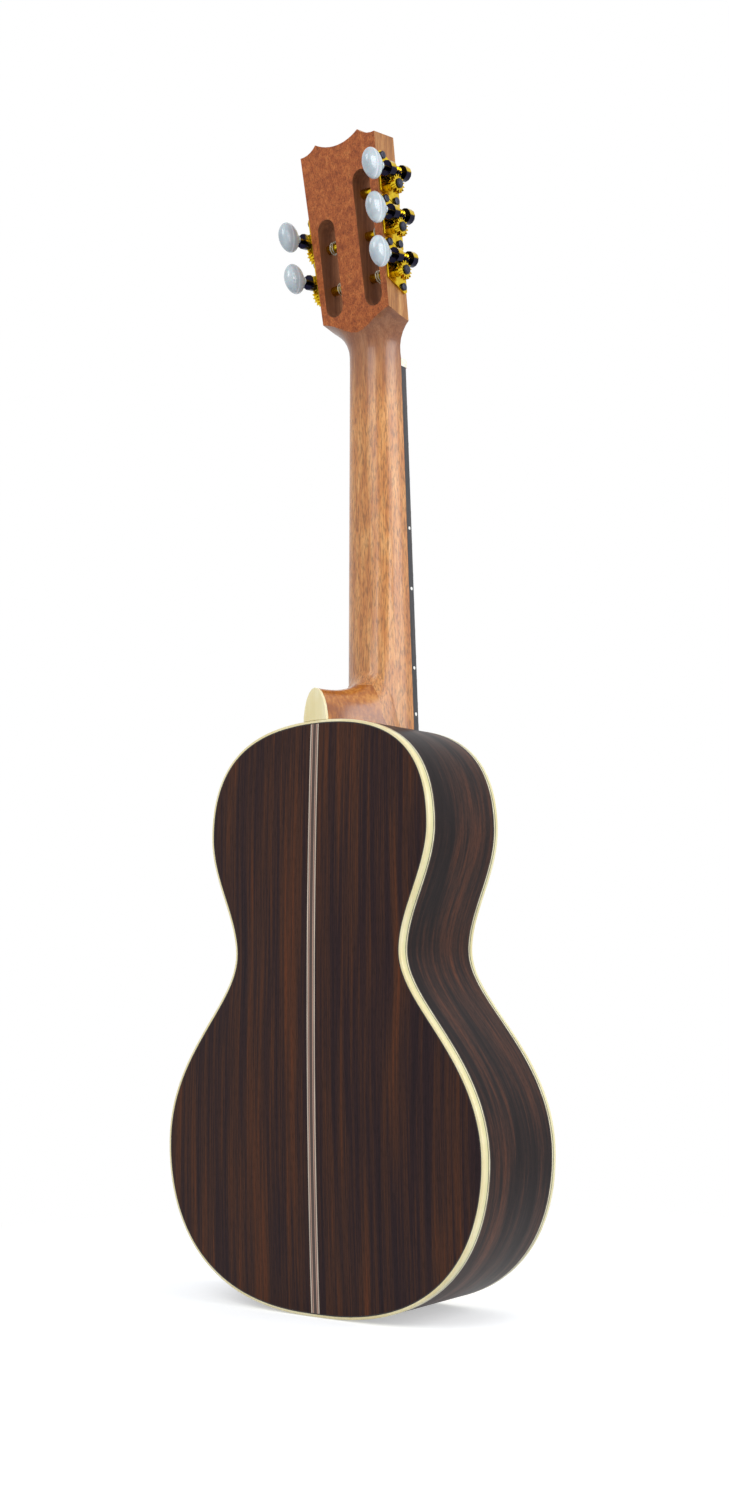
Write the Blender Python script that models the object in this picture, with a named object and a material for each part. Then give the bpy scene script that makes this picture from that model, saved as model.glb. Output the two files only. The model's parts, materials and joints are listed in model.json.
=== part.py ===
"""Rajao: a small five-string guitar with a slotted head and five single worm-gear tuners.

It stands upright on its tail. +Z runs up the neck, the soundboard faces -Y and the back faces +Y.
The bass side, with three tuners, is at -X. The origin is the middle of the tail's flat.
"""

import math

import bmesh
import bpy
from mathutils import Matrix, Vector
from mathutils.geometry import interpolate_bezier

MM = 0.001

# Fit of the pieces
GLUE_GAP = 0.1 * MM
RUNNING_GAP = 0.06 * MM
STRING_GAP = 0.3 * MM
STRING_SEAT = 0.12 * MM
FIT_OVERLAP = 1 * MM

# Scale and body
SCALE_LENGTH = 430 * MM
BODY_LENGTH = 319 * MM
TAIL_FLAT = 10 * MM
LOWER_BOUT = 216 * MM
LOWER_BOUT_Z = 86 * MM
WAIST = 115.5 * MM
WAIST_Z = 191 * MM
UPPER_BOUT = 153 * MM
UPPER_BOUT_Z = 258 * MM
TAIL_DEPTH = 70 * MM
NECK_END_DEPTH = 65 * MM
BACK_ARCH = 3.9 * MM

# How far each end of the outline's four curves pulls along its tangent
TAIL_PULL = 81 * MM
LOWER_BOUT_PULLS = (39 * MM, 51 * MM)
WAIST_PULLS = (27.5 * MM, 21.5 * MM)
UPPER_BOUT_PULLS = (24.7 * MM, 47.5 * MM)
TOP_PULL = 43.4 * MM
CURVE_STEPS = (10, 9, 7, 10)

# Plates, sides and binding
PLATE_THICKNESS = 2.5 * MM
SIDE_THICKNESS = 2.2 * MM
BINDING_WIDTH = 2 * MM
BINDING_HEIGHT = 6.6 * MM
BINDING_ROUND = 0.7 * MM
STRIP_WIDTH = 6 * MM
LINING_WIDTH = 5.5 * MM
LINING_HEIGHT = 13 * MM
BLOCK_WIDTH = 50 * MM
NECK_BLOCK_LENGTH = 32 * MM
TAIL_BLOCK_LENGTH = 16 * MM

# Soundhole, rosette and braces
HOLE_RADIUS = 31 * MM
HOLE_BELOW_NECK = 107 * MM
ROSETTE_INNER = 35 * MM
ROSETTE_OUTER = 43 * MM
ROSETTE_DEPTH = 1.2 * MM
BRACE_WIDTH = 7 * MM
BRACE_HEIGHT = 12 * MM
STRUT_WIDTH = 4 * MM
STRUT_HEIGHT = 5 * MM
BACK_BRACE_SHARES = (0.207, 0.552, 0.82)
SEAM_WIDTH = 14 * MM
SEAM_HEIGHT = 1.6 * MM
SEAM_END_GAP = 1 * MM
BRACE_FROM_HOLE = 14 * MM
STRUT_FROM_HOLE = 10 * MM
FAN_SPREAD = 26 * MM
PATCH_THICKNESS = 1.8 * MM
PATCH_END_MARGIN = 5 * MM

# Neck, heel and fingerboard
NUT_WIDTH = 32 * MM
JOINT_WIDTH = 41 * MM
NUT_END_THICKNESS = 18.5 * MM
JOINT_THICKNESS = 21 * MM
NECK_FULLNESS = 2.3
HEEL_CAP_WIDTH = 16.6 * MM
HEEL_CAP_HEIGHT = 18.4 * MM
HEEL_CAP_THICKNESS = 2 * MM
HEEL_FOOT_Z = BODY_LENGTH - 3 * MM
HEEL_SWEEP = 20 * MM
HEEL_SWEEP_FULLNESS = 2.4
BOARD_THICKNESS = 4.8 * MM
JOINT_FRET_RISE = 2.4 * MM
FRET_COUNT = 17
FRET_WIDTH = 2 * MM
FRET_HEIGHT = 1 * MM
BOARD_OVERHANG = 6 * MM
NUT_LENGTH = 5 * MM

# Head
HEAD_TILT = math.radians(9)
HEAD_THICKNESS = 19 * MM
HEAD_CORNER_V = 24.6 * MM
HEAD_TOP_V = 127.1 * MM
HEAD_BOTTOM_WIDTH = 48.8 * MM
HEAD_TOP_WIDTH = 55.2 * MM
FLARE_START = 2.8 * MM
FLARE_RADIUS = 21 * MM
CROWN_POINT = (15.7 * MM, 131.6 * MM)
CROWN_SCOOP = 4.6 * MM
CORNER_SCOOP = 1.5 * MM
SLOT_CENTRE = 14.5 * MM
SLOT_WIDTH = 12.4 * MM
SLOT_START_V = 28.6 * MM
SLOT_END_MARGINS = {-1: 12 * MM, 1: 15.3 * MM}
RAMP_START_V = 16.5 * MM
RAMP_DEPTH = 5.5 * MM

# Tuners, in millimetres out from the head's side, towards the back, and along the head
TUNER_PITCH = 25 * MM
FIRST_POST_V = 46.6 * MM
POST_DEPTH = 9.5 * MM
TUNER_PLATE_THICKNESS = 1.2 * MM
TUNER_PLATE_OUTLINE = ((8.6, -3.8), (8.6, 18.6), (6.6, 19.6), (-8.6, 11.6), (-8.6, -10.6), (-6.4, -11.7))
PLATE_SCREWS = ((5.5, 16.8), (-4.8, -8))
PLATE_SCREW_RADIUS = 2.1 * MM
PLATE_SCREW_HEIGHT = 1.1 * MM
WORM_OUT = 6.4 * MM
GEAR_TEETH = 14
GEAR_MODULE = 0.7 * MM
GEAR_TIP_RADIUS = 5.5 * MM
GEAR_ROOT_RADIUS = 4.15 * MM
GEAR_WIDTH = 3 * MM
WORM_PITCH_RADIUS = 2.4 * MM
WORM_TIP_RADIUS = 3 * MM
WORM_ROOT_RADIUS = 1.75 * MM
WORM_LENGTH = 6.4 * MM
WORM_CLEARANCE = 0.08 * MM
TOOTH_SHARE = 0.36
SHAFT_RADIUS = 1.6 * MM
BARREL_RADIUS = 4.5 * MM
FRONT_BARREL = (-9.4 * MM, -4.95 * MM)
BACK_BARREL = (4.95 * MM, 9.8 * MM)
EAR_HEIGHT = 5 * MM
BUTTON_CENTRE = 23 * MM
BUTTON_HALF_LENGTH = 7.6 * MM
BUTTON_HALF_HEIGHT = 9 * MM
BUTTON_HALF_THICKNESS = 4.5 * MM
POST_RADIUS = 2.8 * MM
POST_HOLE_GAP = 0.08 * MM
POST_TIP = 2.5 * MM
SPIGOT_RADIUS = 1.9 * MM
GEAR_SCREW_RADIUS = 2.9 * MM
SHAFT_SIDES = 12
POST_SIDES = 14

# Bridge and strings
BRIDGE_LENGTH = 118 * MM
BRIDGE_BLOCK_LENGTH = 62 * MM
BRIDGE_WIDTH = 24 * MM
BRIDGE_BASE = 3.2 * MM
TIE_BLOCK_HEIGHT = 8 * MM
TIE_BLOCK_WIDTH = 6.4 * MM
SADDLE_THICKNESS = 2.4 * MM
SADDLE_LENGTH = 56 * MM
SADDLE_SEAT = 2.2 * MM
TIE_HOLE_RADIUS = 0.9 * MM
TIE_HOLE_HEIGHT = 4.6 * MM
NUT_ACTION = 1.3 * MM
NUT_SLOPE = 0.6 * MM
OCTAVE_ACTION = 3.5 * MM
NUT_SPREAD = 24 * MM
SADDLE_SPREAD = 42 * MM
STRING_RADII = (0.4 * MM, 0.45 * MM, 0.5 * MM, 0.4 * MM, 0.35 * MM)
WINDING_TURNS = 2
WINDING_PITCH = 1.6 * MM
WINDING_STEPS = 24

# Places worked out from the dimensions above
FRONT_Y = -TAIL_DEPTH / 2
NUT_Z = BODY_LENGTH + JOINT_FRET_RISE + SCALE_LENGTH / 2
SADDLE_Z = NUT_Z - SCALE_LENGTH
HOLE_Z = BODY_LENGTH - HOLE_BELOW_NECK
HEAD_TAPER = math.atan((HEAD_TOP_WIDTH - HEAD_BOTTOM_WIDTH) / 2 / (HEAD_TOP_V - HEAD_CORNER_V))
GEAR_PITCH_RADIUS = GEAR_TEETH * GEAR_MODULE / 2
WORM_PITCH = math.pi * GEAR_MODULE
WORM_UP = GEAR_PITCH_RADIUS + WORM_PITCH_RADIUS + WORM_CLEARANCE
HEAD_FRAME = Matrix.Translation((0, FRONT_Y, NUT_Z + NUT_LENGTH)) @ Matrix.Rotation(-HEAD_TILT, 4, "X")
FRONT_PLANE = Matrix.Translation((0, FRONT_Y, 0)) @ Matrix.Rotation(math.pi / 2, 4, "X")
NUT_STRING_Y = FRONT_Y - BOARD_THICKNESS - NUT_ACTION
OCTAVE_STRING_Y = FRONT_Y - BOARD_THICKNESS - OCTAVE_ACTION
SADDLE_STRING_Y = 2 * OCTAVE_STRING_Y - NUT_STRING_Y
SADDLE_SHOULDER = FRONT_Y - SADDLE_STRING_Y - max(STRING_RADII) - STRING_SEAT - SADDLE_THICKNESS / 2

# Each tuner: its name, its side (-1 bass, 1 treble), its place from the nut and its string
TUNERS = (
    ("bass_1", -1, 0, 0),
    ("bass_2", -1, 1, 1),
    ("bass_3", -1, 2, 2),
    ("treble_2", 1, 1, 3),
    ("treble_1", 1, 0, 4),
)
# Where each string's first turn lies, from the head's centre line
WINDING_STARTS = (12.6 * MM, 15 * MM, 19.7 * MM, 15 * MM, 12.6 * MM)
WINDING_DIRECTIONS = (1, 1, -1, 1, 1)


def clear_scene():
    for obj in list(bpy.data.objects):
        bpy.data.objects.remove(obj, do_unlink=True)


def surface(name, hex_colour, roughness, metallic=0.0):
    """One Principled material. The hex colour is sRGB."""
    material = bpy.data.materials.new(name)
    material.use_nodes = True
    shader = material.node_tree.nodes["Principled BSDF"]
    channels = [int(hex_colour[i : i + 2], 16) / 255 for i in (0, 2, 4)]
    linear = [c / 12.92 if c <= 0.04045 else ((c + 0.055) / 1.055) ** 2.4 for c in channels]
    shader.inputs["Base Color"].default_value = (*linear, 1)
    shader.inputs["Roughness"].default_value = roughness
    shader.inputs["Metallic"].default_value = metallic
    return material


def place(name, mesh, material, matrix=None, parent=None):
    """Makes the mesh an object of the scene, smooth except at its sharp edges."""
    obj = bpy.data.objects.new(name, mesh)
    bpy.context.scene.collection.objects.link(obj)
    mesh.materials.clear()
    mesh.materials.append(material)
    mesh.shade_smooth()
    mesh.set_sharp_from_angle(angle=math.radians(35))
    if parent:
        obj.parent = parent
    if matrix:
        obj.matrix_local = matrix
    return obj


def empty(name, matrix, parent=None):
    obj = bpy.data.objects.new(name, None)
    bpy.context.scene.collection.objects.link(obj)
    obj.parent = parent
    obj.matrix_local = matrix
    return obj


def mesh_from(shape, name):
    """Turns the bmesh into a mesh whose faces point outwards."""
    bmesh.ops.recalc_face_normals(shape, faces=shape.faces)
    mesh = bpy.data.meshes.new(name)
    shape.to_mesh(mesh)
    shape.free()
    return mesh


def skin(rings, loop=False, name="skin"):
    """A closed solid over rings of equal count. A loop joins the last ring to the first."""
    shape = bmesh.new()
    rows = [[shape.verts.new(point) for point in ring] for ring in rings]
    pairs = list(zip(rows, rows[1:]))
    if loop:
        pairs.append((rows[-1], rows[0]))
    for low, high in pairs:
        for i in range(len(low)):
            j = (i + 1) % len(low)
            shape.faces.new((low[i], low[j], high[j], high[i]))
    if not loop:
        shape.faces.new(rows[0])
        shape.faces.new(rows[-1])
    return mesh_from(shape, name)


def lathe(profile, steps, axis="Z", name="lathe"):
    """Turns a profile of (radius, height) points about the axis. A radius of 0 is a pole."""
    turn = {"X": Matrix.Rotation(math.pi / 2, 3, "Y"), "Y": Matrix.Rotation(-math.pi / 2, 3, "X")}
    matrix = turn.get(axis, Matrix.Identity(3))
    shape = bmesh.new()
    rows = []
    for radius, height in profile:
        count = steps if radius > 0 else 1
        angles = [2 * math.pi * i / steps for i in range(count)]
        points = [Vector((radius * math.cos(a), radius * math.sin(a), height)) for a in angles]
        rows.append([shape.verts.new(matrix @ point) for point in points])
    closed = profile[0][0] > 0 and profile[-1][0] > 0
    pairs = list(zip(rows, rows[1:])) + ([(rows[-1], rows[0])] if closed else [])
    for low, high in pairs:
        for i in range(steps):
            j = (i + 1) % steps
            corners = [low[i % len(low)], low[j % len(low)], high[j % len(high)], high[i % len(high)]]
            shape.faces.new(list(dict.fromkeys(corners)))
    return mesh_from(shape, name)


def plate(outline, holes, low, high, name="plate"):
    """A flat plate with holes, from a filled 2D curve, between two heights of its own Z."""
    curve = bpy.data.curves.new(name, "CURVE")
    curve.dimensions = "2D"
    curve.fill_mode = "BOTH"
    curve.extrude = (high - low) / 2
    for loop in (outline, *holes):
        spline = curve.splines.new("POLY")
        spline.points.add(len(loop) - 1)
        spline.use_cyclic_u = True
        for point, (x, y) in zip(spline.points, loop):
            point.co = (x, y, 0, 1)
    source = bpy.data.objects.new(name, curve)
    shape = bmesh.new()
    shape.from_mesh(bpy.data.meshes.new_from_object(source))
    bpy.data.objects.remove(source)
    bmesh.ops.remove_doubles(shape, verts=shape.verts, dist=0.001 * MM)
    bmesh.ops.translate(shape, verts=shape.verts, vec=(0, 0, (low + high) / 2))
    return mesh_from(shape, name)


def box(low, high, name="box"):
    shape = bmesh.new()
    bmesh.ops.create_cube(shape, size=1)
    for vert in shape.verts:
        vert.co = Vector([(a + b) / 2 + (b - a) * c for a, b, c in zip(low, high, vert.co)])
    return mesh_from(shape, name)


def moved(mesh, matrix):
    mesh.transform(matrix)
    if matrix.determinant() < 0:
        mesh.flip_normals()
    return mesh


def combine(mesh, others, operation, name="combined"):
    """The mesh after a Boolean with each of the others in turn."""
    base = bpy.data.objects.new(name, mesh)
    bpy.context.scene.collection.objects.link(base)
    tools = []
    for i, other in enumerate(others):
        tool = bpy.data.objects.new(f"{name}_tool_{i}", other)
        bpy.context.scene.collection.objects.link(tool)
        modifier = base.modifiers.new(f"{operation}_{i}", "BOOLEAN")
        modifier.operation = operation
        modifier.object = tool
        tools.append(tool)
    graph = bpy.context.evaluated_depsgraph_get()
    result = bpy.data.meshes.new_from_object(base.evaluated_get(graph))
    for obj in (base, *tools):
        bpy.data.objects.remove(obj, do_unlink=True)
    return result


def circle(radius, steps, centre=(0, 0)):
    angles = [2 * math.pi * i / steps for i in range(steps)]
    return [(centre[0] + radius * math.cos(a), centre[1] + radius * math.sin(a)) for a in angles]


def arc(start, end, sagitta, steps):
    """Points on the arc from start to end, without the start. It bulges to the left by the sagitta."""
    a, b = Vector(start), Vector(end)
    chord = b - a
    side = Vector((-chord.y, chord.x)).normalized()
    radius = (chord.length_squared / 4 + sagitta**2) / (2 * sagitta)
    centre = (a + b) / 2 + side * (sagitta - radius)
    sweep = 2 * math.asin(chord.length / 2 / abs(radius)) * (-1 if sagitta > 0 else 1)
    return [tuple(centre + Matrix.Rotation(sweep * i / steps, 2) @ (a - centre)) for i in range(1, steps + 1)]


def half_outline(inset=0.0):
    """Points (x, z) up the +X half of the body, from the tail flat's end to the top."""
    places = (
        (TAIL_FLAT / 2, 0),
        (LOWER_BOUT / 2, LOWER_BOUT_Z),
        (WAIST / 2, WAIST_Z),
        (UPPER_BOUT / 2, UPPER_BOUT_Z),
        (0, BODY_LENGTH),
    )
    pulls = (
        ((TAIL_PULL, 0), (0, -LOWER_BOUT_PULLS[0])),
        ((0, LOWER_BOUT_PULLS[1]), (0, -WAIST_PULLS[0])),
        ((0, WAIST_PULLS[1]), (0, -UPPER_BOUT_PULLS[0])),
        ((0, UPPER_BOUT_PULLS[1]), (TOP_PULL, 0)),
    )
    points = [Vector(places[0])]
    for start, end, (pull, back_pull), steps in zip(places, places[1:], pulls, CURVE_STEPS):
        a, b = Vector(start), Vector(end)
        curve = interpolate_bezier(a, a + Vector(pull), b + Vector(back_pull), b, steps + 1)
        points += [Vector(point) for point in curve[1:]]
    inner = []
    for i, point in enumerate(points):
        if i == 0:
            along = Vector((1, 0))
        elif i == len(points) - 1:
            along = Vector((-1, 0))
        else:
            along = (points[i + 1] - points[i - 1]).normalized()
        inner.append(point + inset * Vector((-along.y, along.x)))
    return [tuple(point) for point in inner]


def full_outline(inset=0.0):
    """The whole outline as a loop, from the tail up the +X side and down the -X side."""
    half = half_outline(inset)
    return half + [(-x, z) for x, z in half[-2::-1]]


def clipped(points, least_x):
    """The half outline down to where its top comes within least_x of the centre line."""
    kept = [point for point in points if point[0] > least_x]
    (x0, z0), (x1, z1) = kept[-1], points[len(kept)]
    share = (x0 - least_x) / (x0 - x1)
    return kept + [(least_x, z0 + share * (z1 - z0))]


def half_width(z, inset=0.0):
    """How far the outline reaches from the centre line at this height."""
    points = half_outline(inset)
    z = min(max(z, points[0][1]), points[-1][1])
    for (x0, z0), (x1, z1) in zip(points, points[1:]):
        if z0 <= z <= z1 and z1 > z0:
            return x0 + (x1 - x0) * (z - z0) / (z1 - z0)
    return points[0][0]


def body_top(x):
    """The height of the body's top end at this distance from the centre line."""
    upper = [point for point in half_outline() if point[1] > UPPER_BOUT_Z]
    for (x0, z0), (x1, z1) in zip(upper, upper[1:]):
        if x1 <= abs(x) <= x0:
            return z0 + (z1 - z0) * (x0 - abs(x)) / (x0 - x1)
    return BODY_LENGTH


def rim_y(z):
    """The back's rim, which comes nearer to the soundboard towards the neck."""
    return FRONT_Y + TAIL_DEPTH + (NECK_END_DEPTH - TAIL_DEPTH) * z / BODY_LENGTH


def back_y(x, z):
    """The outer face of the arched back."""
    t = min(max(z / BODY_LENGTH, 0), 1)
    across = min(abs(x) / half_width(z, BINDING_WIDTH), 1)
    return rim_y(z) + BACK_ARCH * 4 * t * (1 - t) * (1 - across**2)


def neck_half_width(z):
    """Half the neck's width, which grows evenly from the nut to the joint."""
    share = (NUT_Z - z) / (NUT_Z - BODY_LENGTH)
    return (NUT_WIDTH + (JOINT_WIDTH - NUT_WIDTH) * share) / 2


def fret_z(number):
    return NUT_Z - SCALE_LENGTH * (1 - 2 ** (-number / 12))


def make_soundboard(material):
    """A flat plate with a round hole and a shallow channel for the rosette."""
    hole = circle(HOLE_RADIUS, 40, (0, HOLE_Z))
    board = plate(full_outline(BINDING_WIDTH + GLUE_GAP), [hole], -PLATE_THICKNESS, 0)
    channel = plate(
        circle(ROSETTE_OUTER + GLUE_GAP, 40, (0, HOLE_Z)),
        [circle(ROSETTE_INNER - GLUE_GAP, 40, (0, HOLE_Z))],
        -ROSETTE_DEPTH - GLUE_GAP,
        1 * MM,
    )
    place("soundboard", combine(board, [channel], "DIFFERENCE"), material, FRONT_PLANE)


def make_rosette(material):
    ring = plate(circle(ROSETTE_OUTER, 40), [circle(ROSETTE_INNER, 40)], -ROSETTE_DEPTH, 0)
    place("rosette", ring, material, FRONT_PLANE @ Matrix.Translation((0, HOLE_Z, 0)))


def make_back_half(name, side, material):
    """Half of the arched back, from the centre strip to the binding."""
    edge = STRIP_WIDTH / 2 + GLUE_GAP
    columns = 4
    rings = []
    for reach, z in clipped(half_outline(BINDING_WIDTH + GLUE_GAP), edge + 0.6 * MM):
        across = [edge + (reach - edge) * i / columns for i in range(columns + 1)]
        outer = [Vector((side * x, back_y(x, z), z)) for x in across]
        inner = [point - Vector((0, PLATE_THICKNESS, 0)) for point in reversed(outer)]
        rings.append(outer + inner)
    place(name, skin(rings), material)


def make_back_strip(material):
    """The inlaid strip down the middle of the back."""
    inset = BINDING_WIDTH + GLUE_GAP
    steps = 14
    rings = []
    for i in range(steps + 1):
        z = inset + (BODY_LENGTH - 2 * inset) * i / steps
        outer = [Vector((x, back_y(x, z), z)) for x in (-STRIP_WIDTH / 2, 0, STRIP_WIDTH / 2)]
        inner = [point - Vector((0, PLATE_THICKNESS, 0)) for point in reversed(outer)]
        rings.append(outer + inner)
    place("back_strip", skin(rings), material)


def make_binding(name, at_back, material):
    """A closed hoop round the body's edge, its outer corner rounded."""
    inner = full_outline(BINDING_WIDTH)
    outer = full_outline()
    nearly_outer = full_outline(BINDING_ROUND)
    rings = []
    for (xi, zi), (xn, zn), (xo, zo) in zip(inner, nearly_outer, outer):
        face = rim_y(zo) if at_back else FRONT_Y
        into = -1 if at_back else 1
        rings.append(
            [
                Vector((xi, face, zi)),
                Vector((xn, face, zn)),
                Vector((xo, face + into * BINDING_ROUND, zo)),
                Vector((xo, face + into * BINDING_HEIGHT, zo)),
                Vector((xi, face + into * BINDING_HEIGHT, zi)),
            ]
        )
    place(name, skin(rings, loop=True), material)


def make_side(name, side, material):
    """One bent side, between the two bindings."""
    outer = [(GLUE_GAP / 2, 0)] + half_outline()
    inner = [(GLUE_GAP / 2, SIDE_THICKNESS)] + half_outline(SIDE_THICKNESS)
    outer[-1] = (GLUE_GAP / 2, outer[-1][1])
    inner[-1] = (GLUE_GAP / 2, inner[-1][1])
    front = FRONT_Y + BINDING_HEIGHT + GLUE_GAP
    rings = []
    for (xo, zo), (xi, zi) in zip(outer, inner):
        back = rim_y(zo) - BINDING_HEIGHT - GLUE_GAP
        corners = ((xo, front, zo), (xo, back, zo), (xi, back, zi), (xi, front, zi))
        rings.append([Vector((side * x, y, z)) for x, y, z in corners])
    place(name, skin(rings), material)


def make_lining(name, side, at_back, material):
    """A three-cornered strip inside the corner of a side and a plate, from block to block."""
    near = SIDE_THICKNESS + GLUE_GAP
    rings = []
    for (xa, za), (xc, zc) in zip(half_outline(near), half_outline(near + LINING_WIDTH)):
        if xc < BLOCK_WIDTH / 2 + GLUE_GAP:
            continue
        if at_back:
            top = rim_y(za) - PLATE_THICKNESS - GLUE_GAP
            toe = top - LINING_HEIGHT
        else:
            top = FRONT_Y + PLATE_THICKNESS + GLUE_GAP
            toe = top + LINING_HEIGHT
        corners = ((xa, top, za), (xc, top, zc), (xa, toe, za))
        rings.append([Vector((side * x, y, z)) for x, y, z in corners])
    place(name, skin(rings), material)


def make_block(name, at_top, length, material):
    """An end block: its outer end follows the sides, its faces meet both plates."""
    near = SIDE_THICKNESS + GLUE_GAP
    steps = 6
    half = BLOCK_WIDTH / 2
    points = half_outline(near)
    middle = len(points) // 2
    run = points[middle:] if at_top else points[:middle]
    rings = []
    for i in range(-steps, steps + 1):
        x = half * i / steps
        outer_z = run[-1][1] if at_top else run[0][1]
        for (x0, z0), (x1, z1) in zip(run, run[1:]):
            if min(x0, x1) <= abs(x) <= max(x0, x1):
                outer_z = z0 + (z1 - z0) * (abs(x) - x0) / (x1 - x0)
        inner_z = BODY_LENGTH - near - length if at_top else near + length
        front = FRONT_Y + PLATE_THICKNESS + GLUE_GAP
        depth = PLATE_THICKNESS + GLUE_GAP
        corners = (
            (x, front, outer_z),
            (x, rim_y(outer_z) - depth, outer_z),
            (x, rim_y(inner_z) - depth, inner_z),
            (x, front, inner_z),
        )
        rings.append([Vector(corner) for corner in corners])
    place(name, skin(rings), material)


def brace_reach(z):
    """Half the length of a cross brace at this height, so that it ends just inside the linings."""
    inset = SIDE_THICKNESS + GLUE_GAP + LINING_WIDTH + 0.3 * MM
    return min(half_width(z - BRACE_WIDTH / 2, inset), half_width(z + BRACE_WIDTH / 2, inset))


def make_soundboard_bracing(material):
    """Two cross braces, two struts past the soundhole and three below it, joined as they are glued."""
    top = FRONT_Y + PLATE_THICKNESS + GLUE_GAP
    upper_z = HOLE_Z + HOLE_RADIUS + BRACE_FROM_HOLE
    lower_z = HOLE_Z - HOLE_RADIUS - BRACE_FROM_HOLE
    strut_x = HOLE_RADIUS + STRUT_FROM_HOLE
    bars = []
    for z in (upper_z, lower_z):
        reach = brace_reach(z)
        low = (-reach, top, z - BRACE_WIDTH / 2)
        bars.append(box(low, (reach, top + BRACE_HEIGHT, z + BRACE_WIDTH / 2)))
    for x in (-strut_x, strut_x):
        low = (x - STRUT_WIDTH / 2, top, lower_z)
        bars.append(box(low, (x + STRUT_WIDTH / 2, top + STRUT_HEIGHT, upper_z)))
    for x in (-FAN_SPREAD, 0, FAN_SPREAD):
        low = (x - STRUT_WIDTH / 2, top, SADDLE_Z + BRIDGE_WIDTH)
        bars.append(box(low, (x + STRUT_WIDTH / 2, top + STRUT_HEIGHT, lower_z)))
    place("soundboard_bracing", combine(bars[0], bars[1:], "UNION"), material)


def make_back_bracing(material):
    """Three cross braces and the strip over the centre seam, all following the back's arch."""
    bars = []
    drop = PLATE_THICKNESS + GLUE_GAP
    for share in BACK_BRACE_SHARES:
        middle = share * BODY_LENGTH
        ends = (middle - BRACE_WIDTH / 2, middle + BRACE_WIDTH / 2)
        reach = brace_reach(middle)
        rings = []
        for i in range(-4, 5):
            x = reach * i / 4
            under = [back_y(x, z) - drop for z in ends]
            corners = (
                (x, under[0], ends[0]),
                (x, under[1], ends[1]),
                (x, under[1] - BRACE_HEIGHT, ends[1]),
                (x, under[0] - BRACE_HEIGHT, ends[0]),
            )
            rings.append([Vector(corner) for corner in corners])
        bars.append(skin(rings))
    low_z = SIDE_THICKNESS + TAIL_BLOCK_LENGTH + SEAM_END_GAP
    high_z = BODY_LENGTH - SIDE_THICKNESS - NECK_BLOCK_LENGTH - SEAM_END_GAP
    rings = []
    for i in range(11):
        z = low_z + (high_z - low_z) * i / 10
        top = [Vector((x, back_y(x, z) - drop, z)) for x in (-SEAM_WIDTH / 2, 0, SEAM_WIDTH / 2)]
        bottom = [point - Vector((0, SEAM_HEIGHT, 0)) for point in reversed(top)]
        rings.append(top + bottom)
    place("back_bracing", combine(skin(rings), bars, "UNION"), material)


def make_bridge_patch(material):
    top = FRONT_Y + PLATE_THICKNESS + GLUE_GAP
    half = BRIDGE_LENGTH / 2 - PATCH_END_MARGIN
    low = (-half, top, SADDLE_Z - BRIDGE_WIDTH)
    high = (half, top + PATCH_THICKNESS, SADDLE_Z + BRIDGE_WIDTH - GLUE_GAP)
    place("bridge_patch", box(low, high), material)


def neck_ring(frame, half, thickness, fullness):
    """One cross-section of the neck: flat in front, rounded behind."""
    steps = 16
    ring = []
    for i in range(steps + 1):
        angle = math.pi * i / steps
        across = math.copysign(abs(math.cos(angle)) ** (2 / fullness), math.cos(angle))
        y = thickness * math.sin(angle) ** (2 / fullness) if 0 < i < steps else 0
        ring.append(frame @ Vector((half * across, y, 0)))
    return ring


def neck_shaft():
    """The shaft from inside the body to past the head, flaring in a cove round the neck's own axis."""
    rings = []
    for share in (-0.05, 0.35, 0.7, 1):
        z = BODY_LENGTH + (NUT_Z - BODY_LENGTH) * share
        thickness = JOINT_THICKNESS + (NUT_END_THICKNESS - JOINT_THICKNESS) * share
        frame = Matrix.Translation((0, FRONT_Y, z))
        rings.append(neck_ring(frame, neck_half_width(z), thickness, NECK_FULLNESS))
    steps = 8
    hinge_z = NUT_Z + NUT_LENGTH
    spots = [(FLARE_START, 0)]
    for i in range(1, steps + 1):
        angle = math.pi / 2 * i / steps
        spots.append((FLARE_START + FLARE_RADIUS * math.sin(angle), FLARE_RADIUS * (1 - math.cos(angle))))
    beyond = HEAD_TOP_V
    spots += [(spots[-1][0] + FIT_OVERLAP, beyond), (2 * HEAD_TOP_V, beyond)]
    for rise, growth in spots:
        frame = Matrix.Translation((0, FRONT_Y, hinge_z + rise))
        rings.append(neck_ring(frame, NUT_WIDTH / 2 + growth, NUT_END_THICKNESS + growth, NECK_FULLNESS))
    return skin(rings)


def heel_section(y, half, height, foot_z):
    """A half oval standing on a level foot, at one depth."""
    steps = 12
    top = BODY_LENGTH + height
    angles = [math.pi * i / steps for i in range(steps + 1)]
    return [Vector((half * math.cos(a), y, foot_z + (top - foot_z) * math.sin(a))) for a in angles]


def heel():
    """The heel, lofted from the cap to inside the shaft, so that its crown sweeps up the neck."""
    cap_y = rim_y(BODY_LENGTH) - HEEL_CAP_THICKNESS - GLUE_GAP
    start_y = FRONT_Y + 1 * MM
    neck_back_y = FRONT_Y + JOINT_THICKNESS - 1.5 * MM
    steps = 14
    rings = []
    for i in range(steps + 1):
        y = cap_y + (start_y - cap_y) * i / steps
        flare = (1 - math.cos(math.pi * (cap_y - y) / (cap_y - start_y))) / 2
        half = HEEL_CAP_WIDTH / 2 + (JOINT_WIDTH / 2 - 1 * MM - HEEL_CAP_WIDTH / 2) * flare
        share = min((cap_y - y) / (cap_y - neck_back_y), 1)
        rise = 1 - (1 - share**HEEL_SWEEP_FULLNESS) ** (1 / HEEL_SWEEP_FULLNESS)
        rings.append(heel_section(y, half, HEEL_CAP_HEIGHT + HEEL_SWEEP * rise, HEEL_FOOT_Z))
    return skin(rings)


END_CUTTER_REACH = 30 * MM
END_CUTTER_DEPTH = 40 * MM


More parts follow.
